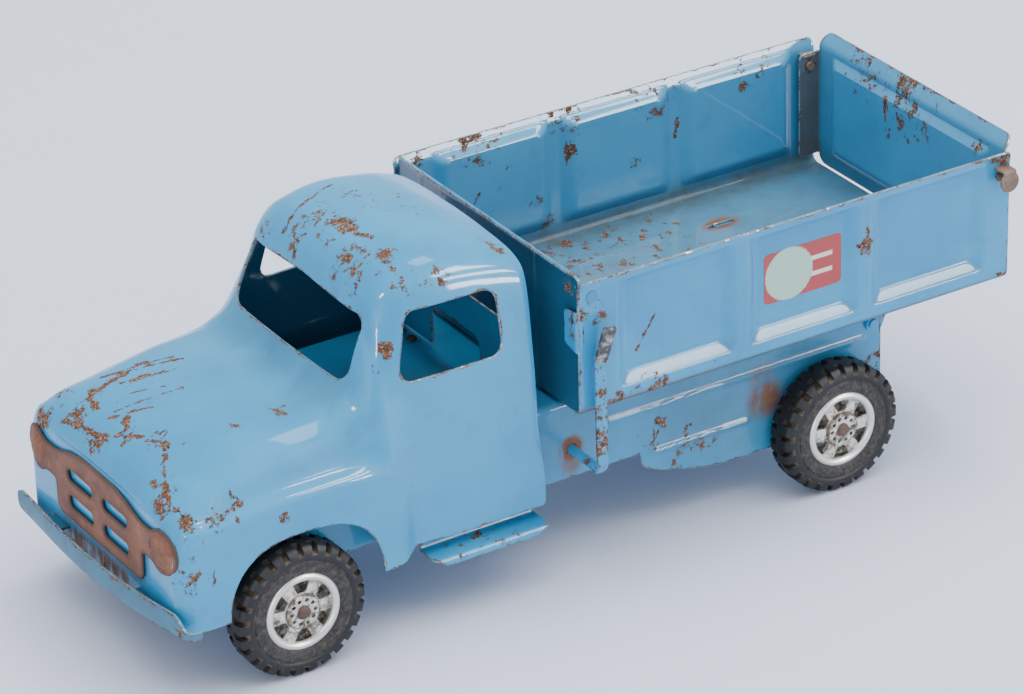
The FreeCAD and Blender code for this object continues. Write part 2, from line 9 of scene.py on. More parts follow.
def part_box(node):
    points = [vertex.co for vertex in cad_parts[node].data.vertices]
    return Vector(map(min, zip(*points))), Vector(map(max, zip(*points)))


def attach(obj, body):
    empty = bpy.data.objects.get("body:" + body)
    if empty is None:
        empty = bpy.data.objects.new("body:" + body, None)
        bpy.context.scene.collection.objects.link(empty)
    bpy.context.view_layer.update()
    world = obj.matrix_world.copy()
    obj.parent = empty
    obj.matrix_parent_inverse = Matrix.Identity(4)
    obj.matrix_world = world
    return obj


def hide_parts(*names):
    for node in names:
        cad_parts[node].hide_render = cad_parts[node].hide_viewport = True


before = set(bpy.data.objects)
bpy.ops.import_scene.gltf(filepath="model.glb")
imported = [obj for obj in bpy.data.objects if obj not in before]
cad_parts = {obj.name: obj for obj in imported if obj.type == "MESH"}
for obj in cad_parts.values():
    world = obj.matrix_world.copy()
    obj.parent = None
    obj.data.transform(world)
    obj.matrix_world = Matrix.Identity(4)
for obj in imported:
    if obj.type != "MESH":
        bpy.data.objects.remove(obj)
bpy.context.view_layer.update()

# Toy dump truck. Lengths are in millimetres until a mesh is made. +X is the front, +Y the left side.
MM = 0.001


def box_mm(node):
    """Lowest and highest corner of a CAD node, in millimetres."""
    low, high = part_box(node)
    return np.array(low) / MM, np.array(high) / MM


# ---- driving dimensions -------------------------------------------------------------------
sheet = 1.0
edge_bulge = 0.3
nowhere = 50.0  # stands for the distance to a hole or edge that is not near
unworn = 9.0  # the edge mark of points that are not near a cut edge

chassis_half = 46.0
chassis_top = box_mm("chassis_frame")[1][2]
rear_axle = -102.0
lever_pivot = (7.5, 45.4)
bed_hinge = (-124.5, 57.5)

(bed_rear, _, bed_bottom), (bed_front, _, bed_top) = box_mm("bed_tub")
bed_wall = 62.4
bed_bend = 4.0
bed_rim_height = 4.0
bed_flat = bed_wall - bed_bend
bed_fold = bed_bend * math.pi / 2
bed_rise = bed_top - bed_rim_height - bed_bottom - bed_bend
panel_low, panel_high = 74.0, 117.0
panel_depth = 3.0
panel_spans = [(-53.0, -2.0), (-107.0, -58.0), (-164.0, -112.0)]
slot_rear, slot_front, slot_inner, slot_outer = -119.0, -107.0, 34.2, 36.8

gate_half = 59.2
gate_plate = -176.5
gate_flange_low = 73.0
gate_pin_x, gate_pin_z = -170.5, 111.0

tyre_low, tyre_high = box_mm("tyre_front_left")
tyre_radius = (tyre_high[2] - tyre_low[2]) / 2
lugs = 26


# ---- number helpers -----------------------------------------------------------------------
def smooth(value, low, high):
    """0 below low, 1 above high, and an even S between them."""
    t = np.clip((value - low) / (high - low), 0.0, 1.0)
    return t * t * (3 - 2 * t)


def soft_min(values, blend):
    """The least of several arrays, with the corners between them rounded off."""
    least = values[0]
    for value in values[1:]:
        share = np.clip(0.5 + 0.5 * (value - least) / blend, 0.0, 1.0)
        least = value * (1 - share) + least * share - blend * share * (1 - share)
    return least

def pressed_slope(near):
    """The depth of a pressed panel from 0 to 1 as near goes from 0 to 1: almost straight, with soft ends."""
    t = np.clip(near, 0.0, 1.0)
    return 0.75 * t + 0.25 * t * t * (3 - 2 * t)


def pchip(knots, values, query):
    """A cubic through values at knots that never overshoots; column k is read at query[k]."""
    gap = np.diff(knots)
    slope = np.diff(values, axis=0) / gap[:, None]
    heavy = (2 * gap[1:] + gap[:-1])[:, None]
    light = (gap[1:] + 2 * gap[:-1])[:, None]
    tangent = np.zeros_like(values)
    turning = slope[:-1] * slope[1:] > 0
    with np.errstate(divide="ignore", invalid="ignore"):
        mean = (heavy + light) / (heavy / slope[:-1] + light / slope[1:])
    tangent[1:-1] = np.where(turning, mean, 0.0)
    tangent[0], tangent[-1] = slope[0], slope[-1]
    i = np.clip(np.searchsorted(knots, query, side="right") - 1, 0, len(knots) - 2)
    column = np.arange(len(query))
    t = (query - knots[i]) / gap[i]
    t2, t3 = t * t, t * t * t
    return (values[i, column] * (2 * t3 - 3 * t2 + 1) + values[i + 1, column] * (3 * t2 - 2 * t3)
            + tangent[i, column] * gap[i] * (t3 - 2 * t2 + t) + tangent[i + 1, column] * gap[i] * (t3 - t2))


def distances(line):
    """How far along a line each of its points lies."""
    return np.concatenate([[0.0], np.cumsum(np.linalg.norm(np.diff(line, axis=0), axis=1))])


def read(line, run, at):
    """The two coordinates of a line at given distances along it."""
    return [np.interp(at, run, line[:, k]) for k in (0, 1)]


def quarter_turn(a, b, radius, first, count):
    """Points of a quarter round that starts at (a, b) along a and turns down; first is its first angle."""
    return [(a + radius * math.sin(t), b - radius * (1 - math.cos(t)))
            for t in np.linspace(first, math.pi / 2, count)]


def curve(points, steps_per_span):
    """A smooth line through (a, b) points, as an array."""
    points = np.array(points, float)
    run = distances(points)
    query = np.interp(np.arange((len(points) - 1) * steps_per_span + 1) / steps_per_span,
                      np.arange(len(points)), run)
    columns = [pchip(run, np.repeat(points[:, k:k + 1], len(query), axis=1), query)
               for k in range(points.shape[1])]
    return np.stack(columns, 1)


def lines(*stops, step):
    """Net lines that pass through every stop, about step apart in between."""
    out = [stops[0]]
    for a, b in zip(stops[:-1], stops[1:]):
        count = max(1, int(round(abs(b - a) / step)))
        out.extend(a + (b - a) * np.arange(1, count + 1) / count)
    return np.array(out)


def polygon_distance(a, b, corners):
    """Signed distance to a closed outline of (a, b) corners, negative inside."""
    best = np.full(a.shape, 1e9)
    inside = np.zeros(a.shape, bool)
    for (a0, b0), (a1, b1) in zip(corners, corners[1:] + corners[:1]):
        ea, eb = a1 - a0, b1 - b0
        wa, wb = a - a0, b - b0
        share = np.clip((wa * ea + wb * eb) / (ea * ea + eb * eb), 0.0, 1.0)
        best = np.minimum(best, np.hypot(wa - ea * share, wb - eb * share))
        crosses = (b0 > b) != (b1 > b)
        with np.errstate(divide="ignore", invalid="ignore"):
            hit = a < a0 + ea * (b - b0) / eb
        inside ^= crosses & hit
    return np.where(inside, -best, best)


def rounded_outline(corners, radius):
    """The signed distance of a convex outline, given anticlockwise, with its corners rounded."""
    count = len(corners)
    inset = []
    for i in range(count):
        here = np.array(corners[i], float)
        back = here - corners[i - 1]
        ahead = np.array(corners[(i + 1) % count]) - here
        n0 = np.array([back[1], -back[0]]) / np.linalg.norm(back)
        n1 = np.array([ahead[1], -ahead[0]]) / np.linalg.norm(ahead)
        inset.append(tuple(here - radius * (n0 + n1) / (1 + n0 @ n1)))
    return lambda a, b: polygon_distance(a, b, inset) - radius


def rectangle(a0, a1, b0, b1):
    return [(a0, b0), (a1, b0), (a1, b1), (a0, b1)]


def inside(outline, *holes):
    """A cutting rule for cut_net: inside an outline of the net's own coordinates, outside its holes."""
    def keep(points, params):
        depth = -outline(*params.T)
        for hole in holes:
            depth = np.minimum(depth, hole(*params.T))
        return depth
    return keep


# ---- nets and pressed sheets --------------------------------------------------------------
def net(us, vs):
    """Parameters and quads of a rectangular net."""
    u, v = np.meshgrid(us, vs, indexing="ij")
    index = np.arange(u.size).reshape(u.shape)
    quads = np.stack([index[:-1, :-1], index[1:, :-1], index[1:, 1:], index[:-1, 1:]], -1)
    return np.stack([u.ravel(), v.ravel()], 1), [list(q) for q in quads.reshape(-1, 4)]


def slide_to_line(params, surface, keep, low, high):
    """Move parameters over the surface until they lie on the cutting line."""
    step = 1e-3
    for _ in range(4):
        value = keep(surface(params), params)
        moved_u = params + np.array([step, 0.0])
        moved_v = params + np.array([0.0, step])
        gu = (keep(surface(moved_u), moved_u) - value) / step
        gv = (keep(surface(moved_v), moved_v) - value) / step
        size = np.maximum(gu * gu + gv * gv, 0.05)
        params = params - np.stack([gu, gv], 1) * (value / size)[:, None]
        params = np.clip(params, low, high)
    return params


def cut_net(params, faces, surface, keep, cell):
    """Cut a net along keep = 0; keep is a distance in millimetres, above 0 on the side that stays."""
    params = params.copy()
    low, high = params.min(0), params.max(0)
    depth = keep(surface(params), params)
    near = np.abs(depth) < 0.3 * cell
    if near.any():
        params[near] = slide_to_line(params[near], surface, keep, low, high)
        depth[near] = 0.0
    whole, mixed = [], []
    for face in faces:
        values = depth[face]
        if values.min() >= 0:
            if values.max() > 0:
                whole.append(face)
        elif values.max() > 0:
            mixed.append(face)
    crossing = {}
    for face in mixed:
        for a, b in zip(face, face[1:] + face[:1]):
            if depth[a] * depth[b] < 0:
                crossing.setdefault((min(a, b), max(a, b)), len(crossing))
    if crossing:
        a, b = np.array(list(crossing)).T
        ta, tb = np.zeros(len(a)), np.ones(len(a))
        fa, fb = depth[a].copy(), depth[b].copy()
        for _ in range(6):
            t = ta + (tb - ta) * fa / (fa - fb)
            q = params[a] + t[:, None] * (params[b] - params[a])
            f = keep(surface(q), q)
            same = f * fa > 0
            ta, fa = np.where(same, t, ta), np.where(same, f, fa)
            tb, fb = np.where(same, tb, t), np.where(same, fb, np.where(f == 0, -fa * 1e-9, f))
        params = np.concatenate([params, q])
    first = len(depth)
    for face in mixed:
        loop = []
        for a, b in zip(face, face[1:] + face[:1]):
            if depth[a] >= 0:
                loop.append(a)
            if depth[a] * depth[b] < 0:
                loop.append(first + crossing[(min(a, b), max(a, b))])
        if len(loop) > 2:
            whole.append(loop)
    return params, whole


def compact(points, faces):
    """Drop the points that no face uses."""
    used = np.unique(np.concatenate([np.array(face) for face in faces]))
    place = np.full(len(points), -1)
    place[used] = np.arange(len(used))
    return points[used], [[int(place[i]) for i in face] for face in faces], used


def mesh_object(name, points, faces, sharp=32.0, marks=None, material_index=None):
    """A smooth-shaded mesh object from millimetre points; marks are float values per point."""
    mesh = bpy.data.meshes.new(name)
    mesh.from_pydata((np.asarray(points) * MM).tolist(), [], faces)
    mesh.polygons.foreach_set("use_smooth", [True] * len(mesh.polygons))
    if material_index is not None:
        mesh.polygons.foreach_set("material_index", material_index)
    for key, values in (marks or {}).items():
        mark = mesh.attributes.new(key, "FLOAT", "POINT")
        mark.data.foreach_set("value", np.asarray(values, np.float32))
    mesh.update()
    mesh.set_sharp_from_angle(angle=math.radians(sharp))
    piece = bpy.data.objects.new(name, mesh)
    bpy.context.scene.collection.objects.link(piece)
    return piece


def point_normals(points, faces):
    """Area-weighted normals at the points of a mesh."""
    mesh = bpy.data.meshes.new("scratch")
    mesh.from_pydata(points.tolist(), [], faces)
    normals = np.zeros(len(points) * 3)
    mesh.vertex_normals.foreach_get("vector", normals)
    bpy.data.meshes.remove(mesh)
    return normals.reshape(-1, 3)


def edge_loops(faces):
    """Directed edges that only one face uses."""
    seen = {}
    for face in faces:
        for a, b in zip(face, face[1:] + face[:1]):
            seen[(a, b)] = True
    return [edge for edge in seen if (edge[1], edge[0]) not in seen]


def thicken(points, faces, thickness, bulge, inner):
    """Give a surface a second side and a rounded edge. Returns points, faces, material indices,
    the distance of each point from the edge, and the index of the surface point each came from."""
    normals = point_normals(points, faces)
    count = len(points)
    border = edge_loops(faces)
    outward = np.zeros((count, 3))
    for a, b in border:
        along = points[b] - points[a]
        along = along / max(np.linalg.norm(along), 1e-9)
        for i in (a, b):
            outward[i] += np.cross(along, normals[i])
    rim = sorted({i for edge in border for i in edge})
    length = np.maximum(np.linalg.norm(outward[rim], axis=1), 1e-9)
    outward[rim] /= length[:, None]
    all_points = [points, points - normals * thickness]
    all_faces = list(faces) + [[i + count for i in reversed(face)] for face in faces]
    index = [0] * len(faces) + [inner] * len(faces)
    source = [np.arange(count), np.arange(count)]
    rings = [dict(zip(rim, rim))]
    first = 2 * count
    for angle in (40.0, 0.0, -40.0):
        turn = math.radians(angle)
        ring = (points[rim] - normals[rim] * (thickness / 2) * (1 - math.sin(turn))
                + outward[rim] * bulge * math.cos(turn))
        all_points.append(ring)
        source.append(np.array(rim))
        rings.append({i: first + k for k, i in enumerate(rim)})
        first += len(rim)
    rings.append({i: i + count for i in rim})
    for upper, lower in zip(rings[:-1], rings[1:]):
        for a, b in border:
            all_faces.append([upper[b], upper[a], lower[a], lower[b]])
            index.append(1)
    tree = KDTree(len(rim))
    for k, i in enumerate(rim):
        tree.insert(points[i], k)
    tree.balance()
    reach = np.array([tree.find(p)[2] for p in points])
    source = np.concatenate(source)
    return np.concatenate(all_points), all_faces, index, reach[source], source


def spots(places):
    """A wear density from (centre, radius, strength) spots."""
    def density(points):
        total = np.zeros(len(points))
        for centre, radius, strength in places:
            far = np.linalg.norm((points - np.array(centre)) / radius, axis=1)
            total = np.maximum(total, strength * (1 - smooth(far, 0.35, 1.0)))
        return total
    return density


def no_wear(points):
    return np.zeros(len(points))


def pressing(name, params, faces, surface, thickness=sheet, flip=False, wear=no_wear, bulge=edge_bulge,
             mirrored=False, extra=None, inner=0, dirt=no_wear, stain=no_wear):
    """A pressed sheet from a net on a surface. Material 0 is its faces, material 1 its cut edge, and
    inner is the material of the faces on its second side."""
    points = surface(params)
    if mirrored:
        points = points * np.array([1.0, -1.0, 1.0])
        flip = not flip
    if flip:
        faces = [face[::-1] for face in faces]
    points, faces, used = compact(points, faces)
    solid, solid_faces, index, reach, source = thicken(points, faces, thickness, bulge, inner)
    marks = {"edge": reach, "wear": wear(solid), "dirt": dirt(solid), "stain": stain(solid)}
    for key, values in (extra or {}).items():
        marks[key] = values[used][source]
    return mesh_object(name, solid, solid_faces, marks=marks, material_index=index)


def without_edges(points, wear=0.0):
    """Wear marks for a piece that has no cut edge."""
    return {"edge": np.full(len(points), unworn), "wear": np.zeros(len(points)) + wear}


def sweep(name, centres, sections, axes, wear=no_wear):
    """A bar through centres; each section is a closed loop of (a, b) along that centre's two axes."""
    points, faces = [], []
    count = len(sections[0])
    for centre, section, (axis_a, axis_b) in zip(centres, sections, axes):
        for a, b in section:
            points.append(np.array(centre) + a * np.array(axis_a) + b * np.array(axis_b))
    rows = len(centres)
    for i in range(rows - 1):
        for j in range(count):
            k = (j + 1) % count
            faces.append([i * count + j, i * count + k, (i + 1) * count + k, (i + 1) * count + j])
    faces.append([*range(count)][::-1])
    faces.append([(rows - 1) * count + j for j in range(count)])
    points = np.array(points)
    return mesh_object(name, points, faces, marks=without_edges(points, wear(points)))


def ring_faces(steps, rows, flip=False):
    """Quads that join steps round a ring, each with the same rows."""
    faces = []
    for i in range(steps):
        k = (i + 1) % steps
        for j in range(rows - 1):
            face = [i * rows + j, i * rows + j + 1, k * rows + j + 1, k * rows + j]
            faces.append(face[::-1] if flip else face)
    return faces


def turned(profile, steps, centre_x, centre_z, side=1, flip=False):
    """Points and quads of a (radius, y) profile turned about an axle; side -1 puts it on the right."""
    turns = np.linspace(0, 2 * math.pi, steps, endpoint=False)[:, None]
    radius, y = profile.T
    x = centre_x + radius * np.cos(turns)
    z = centre_z + radius * np.sin(turns)
    points = np.stack([x, np.broadcast_to(side * y, x.shape), z], -1).reshape(-1, 3)
    return points, ring_faces(steps, len(profile), flip)


def place(piece, body, slot, nodes, materials):
    """Give a piece its materials and its place in the model."""
    for material in materials:
        piece.data.materials.append(material)
    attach(piece, body)
    if nodes:
        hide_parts(*nodes)
    return piece


def sheet_part(name, us, vs, surface, keep, cell, body, slot, nodes, materials, drop=None, marks=None,
               **options):
    """A pressing from a net of us by vs, cut where keep = 0. drop says which quads go, by their middles,
    and marks gives further wear marks from the net's parameters."""
    params, faces = net(us, vs)
    if drop:
        faces = [face for face in faces if not drop(*params[face].mean(0))]
    params, faces = cut_net(params, faces, surface, keep, cell)
    extra = marks(params) if marks else None
    piece = pressing(name, params, faces, surface, extra=extra, **options)
    return place(piece, body, slot, nodes, materials)


# ---- material helpers ---------------------------------------------------------------------
class Graph:
    """A material's node tree, with short names for the nodes used here."""

    def __init__(self, name):
        self.material = bpy.data.materials.new(name)
        self.material.use_nodes = True
        tree = self.material.node_tree
        self.nodes, self.links = tree.nodes, tree.links
        self.shader = self.nodes["Principled BSDF"]
        self.position = self.nodes.new("ShaderNodeTexCoord").outputs["Object"]

    def feed(self, socket, value):
        if isinstance(value, bpy.types.NodeSocket):
            self.links.new(value, socket)
        else:
            socket.default_value = value

    def set(self, **values):
        for key, value in values.items():
            self.feed(self.shader.inputs[key.replace("_", " ")], value)

    def new(self, kind, inputs):
        """A new node with these inputs."""
        node = self.nodes.new(kind)
        for key, value in inputs.items():
            self.feed(node.inputs[key], value)
        return node

    def noise(self, scale, detail=4.0, roughness=0.55, position=None):
        where = position or self.position
        inputs = {"Vector": where, "Scale": scale, "Detail": detail, "Roughness": roughness}
        return self.new("ShaderNodeTexNoise", inputs).outputs["Fac"]

    def patches(self, scale, detail, roughness, low, high):
        """Noise turned into patches, 0 where it is below low and 1 where it is above high."""
        return self.step(self.noise(scale, detail, roughness), low, high)

    def cells(self, scale):
        inputs = {"Vector": self.position, "Scale": scale}
        return self.new("ShaderNodeTexVoronoi", inputs).outputs["Distance"]

    def stretched(self, scale, turn=(0.0, 0.0, 0.0)):
        inputs = {"Vector": self.position, "Scale": scale, "Rotation": turn}
        return self.new("ShaderNodeMapping", inputs).outputs["Vector"]

    def math(self, operation, a, b, clamp=False):
        node = self.new("ShaderNodeMath", {0: a, 1: b})
        node.operation = operation
        node.use_clamp = clamp
        return node.outputs[0]

    def add(self, a, b):
        return self.math("ADD", a, b)

    def less(self, a, b):
        return self.math("SUBTRACT", a, b)

    def times(self, a, b):
        return self.math("MULTIPLY", a, b)

    def most(self, a, b):
        return self.math("MAXIMUM", a, b)

    def least(self, a, b):
        return self.math("MINIMUM", a, b)

    def step(self, value, low, high):
        """0 at low, 1 at high, and an even S between them; low may be above high."""
        node = self.new("ShaderNodeMapRange", {"Value": value, "From Min": low, "From Max": high})
        node.interpolation_type = "SMOOTHSTEP"
        return node.outputs["Result"]

    def mark(self, name):
        node = self.nodes.new("ShaderNodeAttribute")
        node.attribute_name = name
        return node.outputs["Fac"]

    def ramp(self, value, *stops):
        node = self.nodes.new("ShaderNodeValToRGB")
        elements = node.color_ramp.elements
        while len(elements) < len(stops):
            elements.new(0.5)
        for element, (where, colour) in zip(elements, stops):
            element.position = where
            element.color = (*colour, 1.0)
        self.feed(node.inputs["Fac"], value)
        return node.outputs["Color"]

    def mix(self, share, a, b):
        """A colour that goes from a to b as share goes from 0 to 1."""
        node = self.nodes.new("ShaderNodeMix")
        node.data_type = "RGBA"
        self.feed(node.inputs["Factor"], share)
        self.feed(node.inputs[6], (*a, 1.0) if isinstance(a, tuple) else a)
        self.feed(node.inputs[7], (*b, 1.0) if isinstance(b, tuple) else b)
        return node.outputs[2]

    def blend(self, share, a, b):
        """A number that goes from a to b as share goes from 0 to 1."""
        return self.new("ShaderNodeMix", {"Factor": share, "A": a, "B": b}).outputs["Result"]

    def bump(self, *layers):
        """Bump from (height, depth in metres) layers; the last one lies on top."""
        normal = None
        for height, depth in layers:
            node = self.new("ShaderNodeBump", {"Height": height, "Distance": depth, "Strength": 1.0})
            if normal is not None:
                self.links.new(normal, node.inputs["Normal"])
            normal = node.outputs["Normal"]
        self.links.new(normal, self.shader.inputs["Normal"])

    def vector(self, operation, a, b, second=1, output="Vector"):
        """A vector node; second is the input that b goes to."""
        node = self.nodes.new("ShaderNodeVectorMath")
        node.operation = operation
        self.feed(node.inputs[0], a)
        self.feed(node.inputs[second], b)
        return node.outputs[output]

    def scratch(self, start, finish, width, plane):
        """Whether a point lies on a thin wandering line between two places, seen flat on a plane."""
        start, finish, plane = Vector(start) * MM, Vector(finish) * MM, Vector(plane)
        start, along = start * plane, (finish - start) * plane
        offset = self.vector("SUBTRACT", self.vector("MULTIPLY", self.position, plane), start)
        dot = self.vector("DOT_PRODUCT", offset, along / along.length_squared, output="Value")
        share = self.math("MULTIPLY", dot, 1.0, clamp=True)
        nearest = self.vector("SCALE", along, share, second="Scale")
        gap = self.vector("SUBTRACT", offset, nearest)
        gap = self.vector("LENGTH", gap, (0.0, 0.0, 0.0), output="Value")
        wander = self.add(gap, self.times(self.less(self.noise(190.0, 4.0), 0.5), 0.004))
        reach = self.times(self.less(self.noise(300.0, 4.0, 0.65), 0.33), 7.5 * width * MM)
        return self.step(self.less(reach, self.math("ABSOLUTE", wander, 0.0)), 0.0, 0.0001)


def rust_colour(graph):
    """Brown rust, from nearly black to orange."""
    return graph.ramp(graph.noise(700.0, 5.0, 0.65), (0.3, (0.030, 0.016, 0.011)),
                      (0.5, (0.135, 0.060, 0.034)), (0.7, (0.300, 0.145, 0.082)))


ENAMEL_LIGHT = (0.036, 0.350, 0.620)
ENAMEL_DEEP = (0.023, 0.290, 0.550)
# ENAMEL_SHADE is the dark colour of painted shade; a little of it also gives the plugs their own darker tone.
ENAMEL_SHADE = (0.016, 0.062, 0.100)
ENAMEL_FADED = (0.190, 0.360, 0.460)


def enamel(name, scratches=(), seen_along=(1.0, 1.0, 0.0), shade=0.0, faded=0.0):
    """Gloss enamel on steel: uneven colour, chips and specks down to rust, worn edges, dust and soiling, and
    painted shade where the dirt mark asks for it; shade mixes in ENAMEL_SHADE, the dark colour of painted
    shade.
    seen_along has a 1 for each axis of the plane that the scratches are laid out in."""
    g = Graph(name)
    wear, edge, dirt = g.mark("wear"), g.mark("edge"), g.mark("dirt")
    paint = g.mix(g.patches(28.0, 3.0, 0.55, 0.3, 0.7), ENAMEL_LIGHT, ENAMEL_DEEP)
    paint = g.mix(faded, g.mix(shade, paint, ENAMEL_SHADE), ENAMEL_FADED)
    # grime_and_shade darkens the paint towards dull grey: random patches of soiling, plus the dirt mark,
    # which is soiling in some places and painted shade in others.
    grime_and_shade = g.times(g.patches(75.0, 6.0, 0.7, 0.52, 0.78), 0.22)
    grime_and_shade = g.add(grime_and_shade, g.times(dirt, g.add(g.noise(120.0, 6.0, 0.7), 0.35)))
    paint = g.mix(g.least(grime_and_shade, 0.92), paint, (0.080, 0.110, 0.108))

    run = g.noise(300.0, 5.0, 0.65, g.stretched((1.0, 1.0, 0.22)))
    stain = g.times(g.mark("stain"), g.step(run, 0.25, 0.56))
    stain_colour = g.mix(g.noise(240.0), (0.085, 0.032, 0.010), (0.330, 0.125, 0.030))
    paint = g.mix(g.least(stain, 0.9), paint, stain_colour)

    flakes = g.add(g.times(g.noise(150.0, 7.0, 0.70), 0.74), g.times(g.noise(520.0, 4.0, 0.6), 0.26))
    flakes = g.add(flakes, g.times(wear, 0.185))
    chips = g.step(flakes, 0.690, 0.696)
    streaks = g.noise(200.0, 5.0, 0.6, g.stretched((1.0, 1.0, 0.28), (0.25, 0.5, 0.2)))
    streaks = g.step(g.add(streaks, g.times(wear, 0.13)), 0.745, 0.752)
    specks = g.step(g.add(g.noise(800.0, 2.0, 0.5), g.times(wear, 0.06)), 0.762, 0.774)
    border = g.times(g.patches(170.0, 6.0, 0.7, 0.42, 0.78), 1.3)
    border = g.step(g.less(border, edge), 0.0, 0.12)
    bare = g.most(g.most(chips, streaks), g.most(g.times(specks, 0.85), border))
    for start, finish, width in scratches:
        bare = g.most(bare, g.scratch(start, finish, width, seen_along))
    rust = g.mix(g.patches(1300.0, 3.0, 0.55, 0.55, 0.68), rust_colour(g), (0.40, 0.36, 0.29))
    halo = g.step(flakes, 0.655, 0.690)
    paint = g.mix(g.times(halo, 0.45), paint, (0.10, 0.20, 0.23))

    dull = g.least(g.most(g.most(bare, stain), g.times(dirt, 0.8)), 1.0)
    smear = g.times(g.patches(60.0, 5.0, 0.65, 0.4, 0.75), 0.16)
    g.set(Base_Color=g.mix(bare, paint, rust), Roughness=g.blend(dull, g.add(smear, 0.34), 0.88))
    g.set(Coat_Weight=g.blend(dull, 0.62, 0.0), Coat_Roughness=0.06, Specular_IOR_Level=0.22)
    g.bump((g.noise(330.0, 2.0), 0.00005), (g.less(1.0, bare), 0.00014))
    return g.material


def worn_edge():
    """The cut edge of a painted sheet: brown steel with bright rubs and traces of enamel."""
    g = Graph("worn_edge")
    kind = g.noise(260.0, 6.0, 0.7)
    colour = g.mix(g.step(kind, 0.40, 0.50), rust_colour(g), (0.150, 0.270, 0.330))
    bright = g.step(g.noise(340.0, 5.0, 0.7), 0.56, 0.64)
    g.set(Base_Color=g.mix(bright, colour, (0.62, 0.60, 0.56)), Metallic=g.times(bright, 0.85))
    g.set(Roughness=g.blend(bright, 0.6, 0.34))
    g.bump((g.noise(900.0, 3.0), 0.0001))
    return g.material


def rusty_steel(name, dark, mid, light, shine=0.0, edged=0.0):
    """Bare steel gone brown, with darker patches and, if edged, darker edges."""
    g = Graph(name)
    large = g.noise(70.0, 5.0, 0.65)
    small = g.noise(650.0, 5.0, 0.7)
    both = g.add(g.times(large, 0.55), g.times(small, 0.45))
    rim = g.times(g.step(g.add(g.mark("edge"), g.times(small, 1.5)), 2.6, 0.8), edged)
    brown = g.ramp(both, (0.34, dark), (0.5, mid), (0.66, light))
    g.set(Base_Color=g.mix(rim, brown, dark), Metallic=shine)
    g.set(Roughness=g.blend(g.step(small, 0.35, 0.65), 0.58, 0.82))
    g.bump((small, 0.00022), (g.noise(1500.0, 2.0), 0.00006))
    return g.material


def plated():
    """Bright plating, dull and brown where it is soiled in its recesses."""
    g = Graph("plated")
    deep = g.mark("deep")
    dirt = g.step(g.add(g.noise(330.0, 6.0, 0.7), g.times(deep, 0.55)), 0.62, 0.86)
    colour = g.mix(g.noise(90.0, 4.0), (0.80, 0.78, 0.73), (0.58, 0.56, 0.51))
    brown = g.ramp(g.noise(500.0, 4.0), (0.3, (0.045, 0.032, 0.020)), (0.7, (0.24, 0.18, 0.12)))
    g.set(Base_Color=g.mix(dirt, colour, brown))
    g.set(Metallic=g.blend(dirt, 0.72, 0.05), Roughness=g.blend(dirt, 0.36, 0.85))
    g.bump((g.noise(400.0, 4.0, 0.6), 0.00009), (dirt, 0.00006))
    return g.material


def rubber():
    """Old black rubber with brown dust in its notches and grooves."""
    g = Graph("rubber")
    deep = g.mark("deep")
    dust = g.step(g.add(g.noise(330.0, 6.0, 0.7), g.times(deep, 0.30)), 0.60, 0.84)
    base = g.mix(g.step(g.noise(45.0, 4.0), 0.3, 0.7), (0.006, 0.006, 0.007), (0.014, 0.014, 0.015))
    brown = g.ramp(g.noise(420.0, 4.0), (0.3, (0.045, 0.034, 0.024)), (0.7, (0.21, 0.155, 0.105)))
    film = g.least(g.times(deep, 1.1), 0.42)
    film = g.times(g.patches(620.0, 6.0, 0.75, 0.40, 0.66), film)
    base = g.mix(film, base, (0.135, 0.120, 0.098))
    g.set(Base_Color=g.mix(g.times(dust, 0.85), base, brown), Roughness=g.blend(dust, 0.52, 0.9))
    g.set(Specular_IOR_Level=0.35)
    g.bump((g.noise(750.0, 4.0, 0.6), 0.00016), (g.noise(160.0, 3.0), 0.00015))
    return g.material


def worn_grip():
    """Dark handled steel with shallow embossing, scuffed bright."""
    g = Graph("worn_grip")
    scuff = g.step(g.noise(420.0, 5.0, 0.7), 0.44, 0.62)
    g.set(Base_Color=g.mix(scuff, (0.045, 0.048, 0.052), (0.30, 0.33, 0.35)), Metallic=g.times(scuff, 0.6))
    g.set(Roughness=g.blend(scuff, 0.65, 0.38))
    g.bump((g.cells(620.0), 0.0004), (g.noise(800.0, 4.0), 0.0001))
    return g.material


def decal_paint(name):
    """A plain transfer: red patch, pale green round, cream stripes; no lettering."""
    g = Graph(name)
    red = g.mix(g.noise(160.0, 5.0), (0.50, 0.040, 0.030), (0.38, 0.030, 0.028))
    colour = g.mix(g.mark("stripe"), red, (0.80, 0.76, 0.62))
    colour = g.mix(g.mark("round"), colour, (0.42, 0.66, 0.50))
    lost = g.step(g.noise(380.0, 6.0, 0.7), 0.66, 0.68)
    g.set(Base_Color=g.mix(lost, colour, ENAMEL_DEEP), Roughness=0.34, Coat_Weight=0.3)
    g.bump((g.noise(500.0, 3.0), 0.00005))
    return g.material


def floor_paper():
    """Plain pale seamless floor."""
    g = Graph("floor_paper")
    g.set(Base_Color=g.mix(g.noise(9.0, 3.0), (0.800, 0.840, 0.965), (0.780, 0.820, 0.950)), Roughness=0.85)
    g.bump((g.noise(900.0, 3.0), 0.00006))
    return g.material


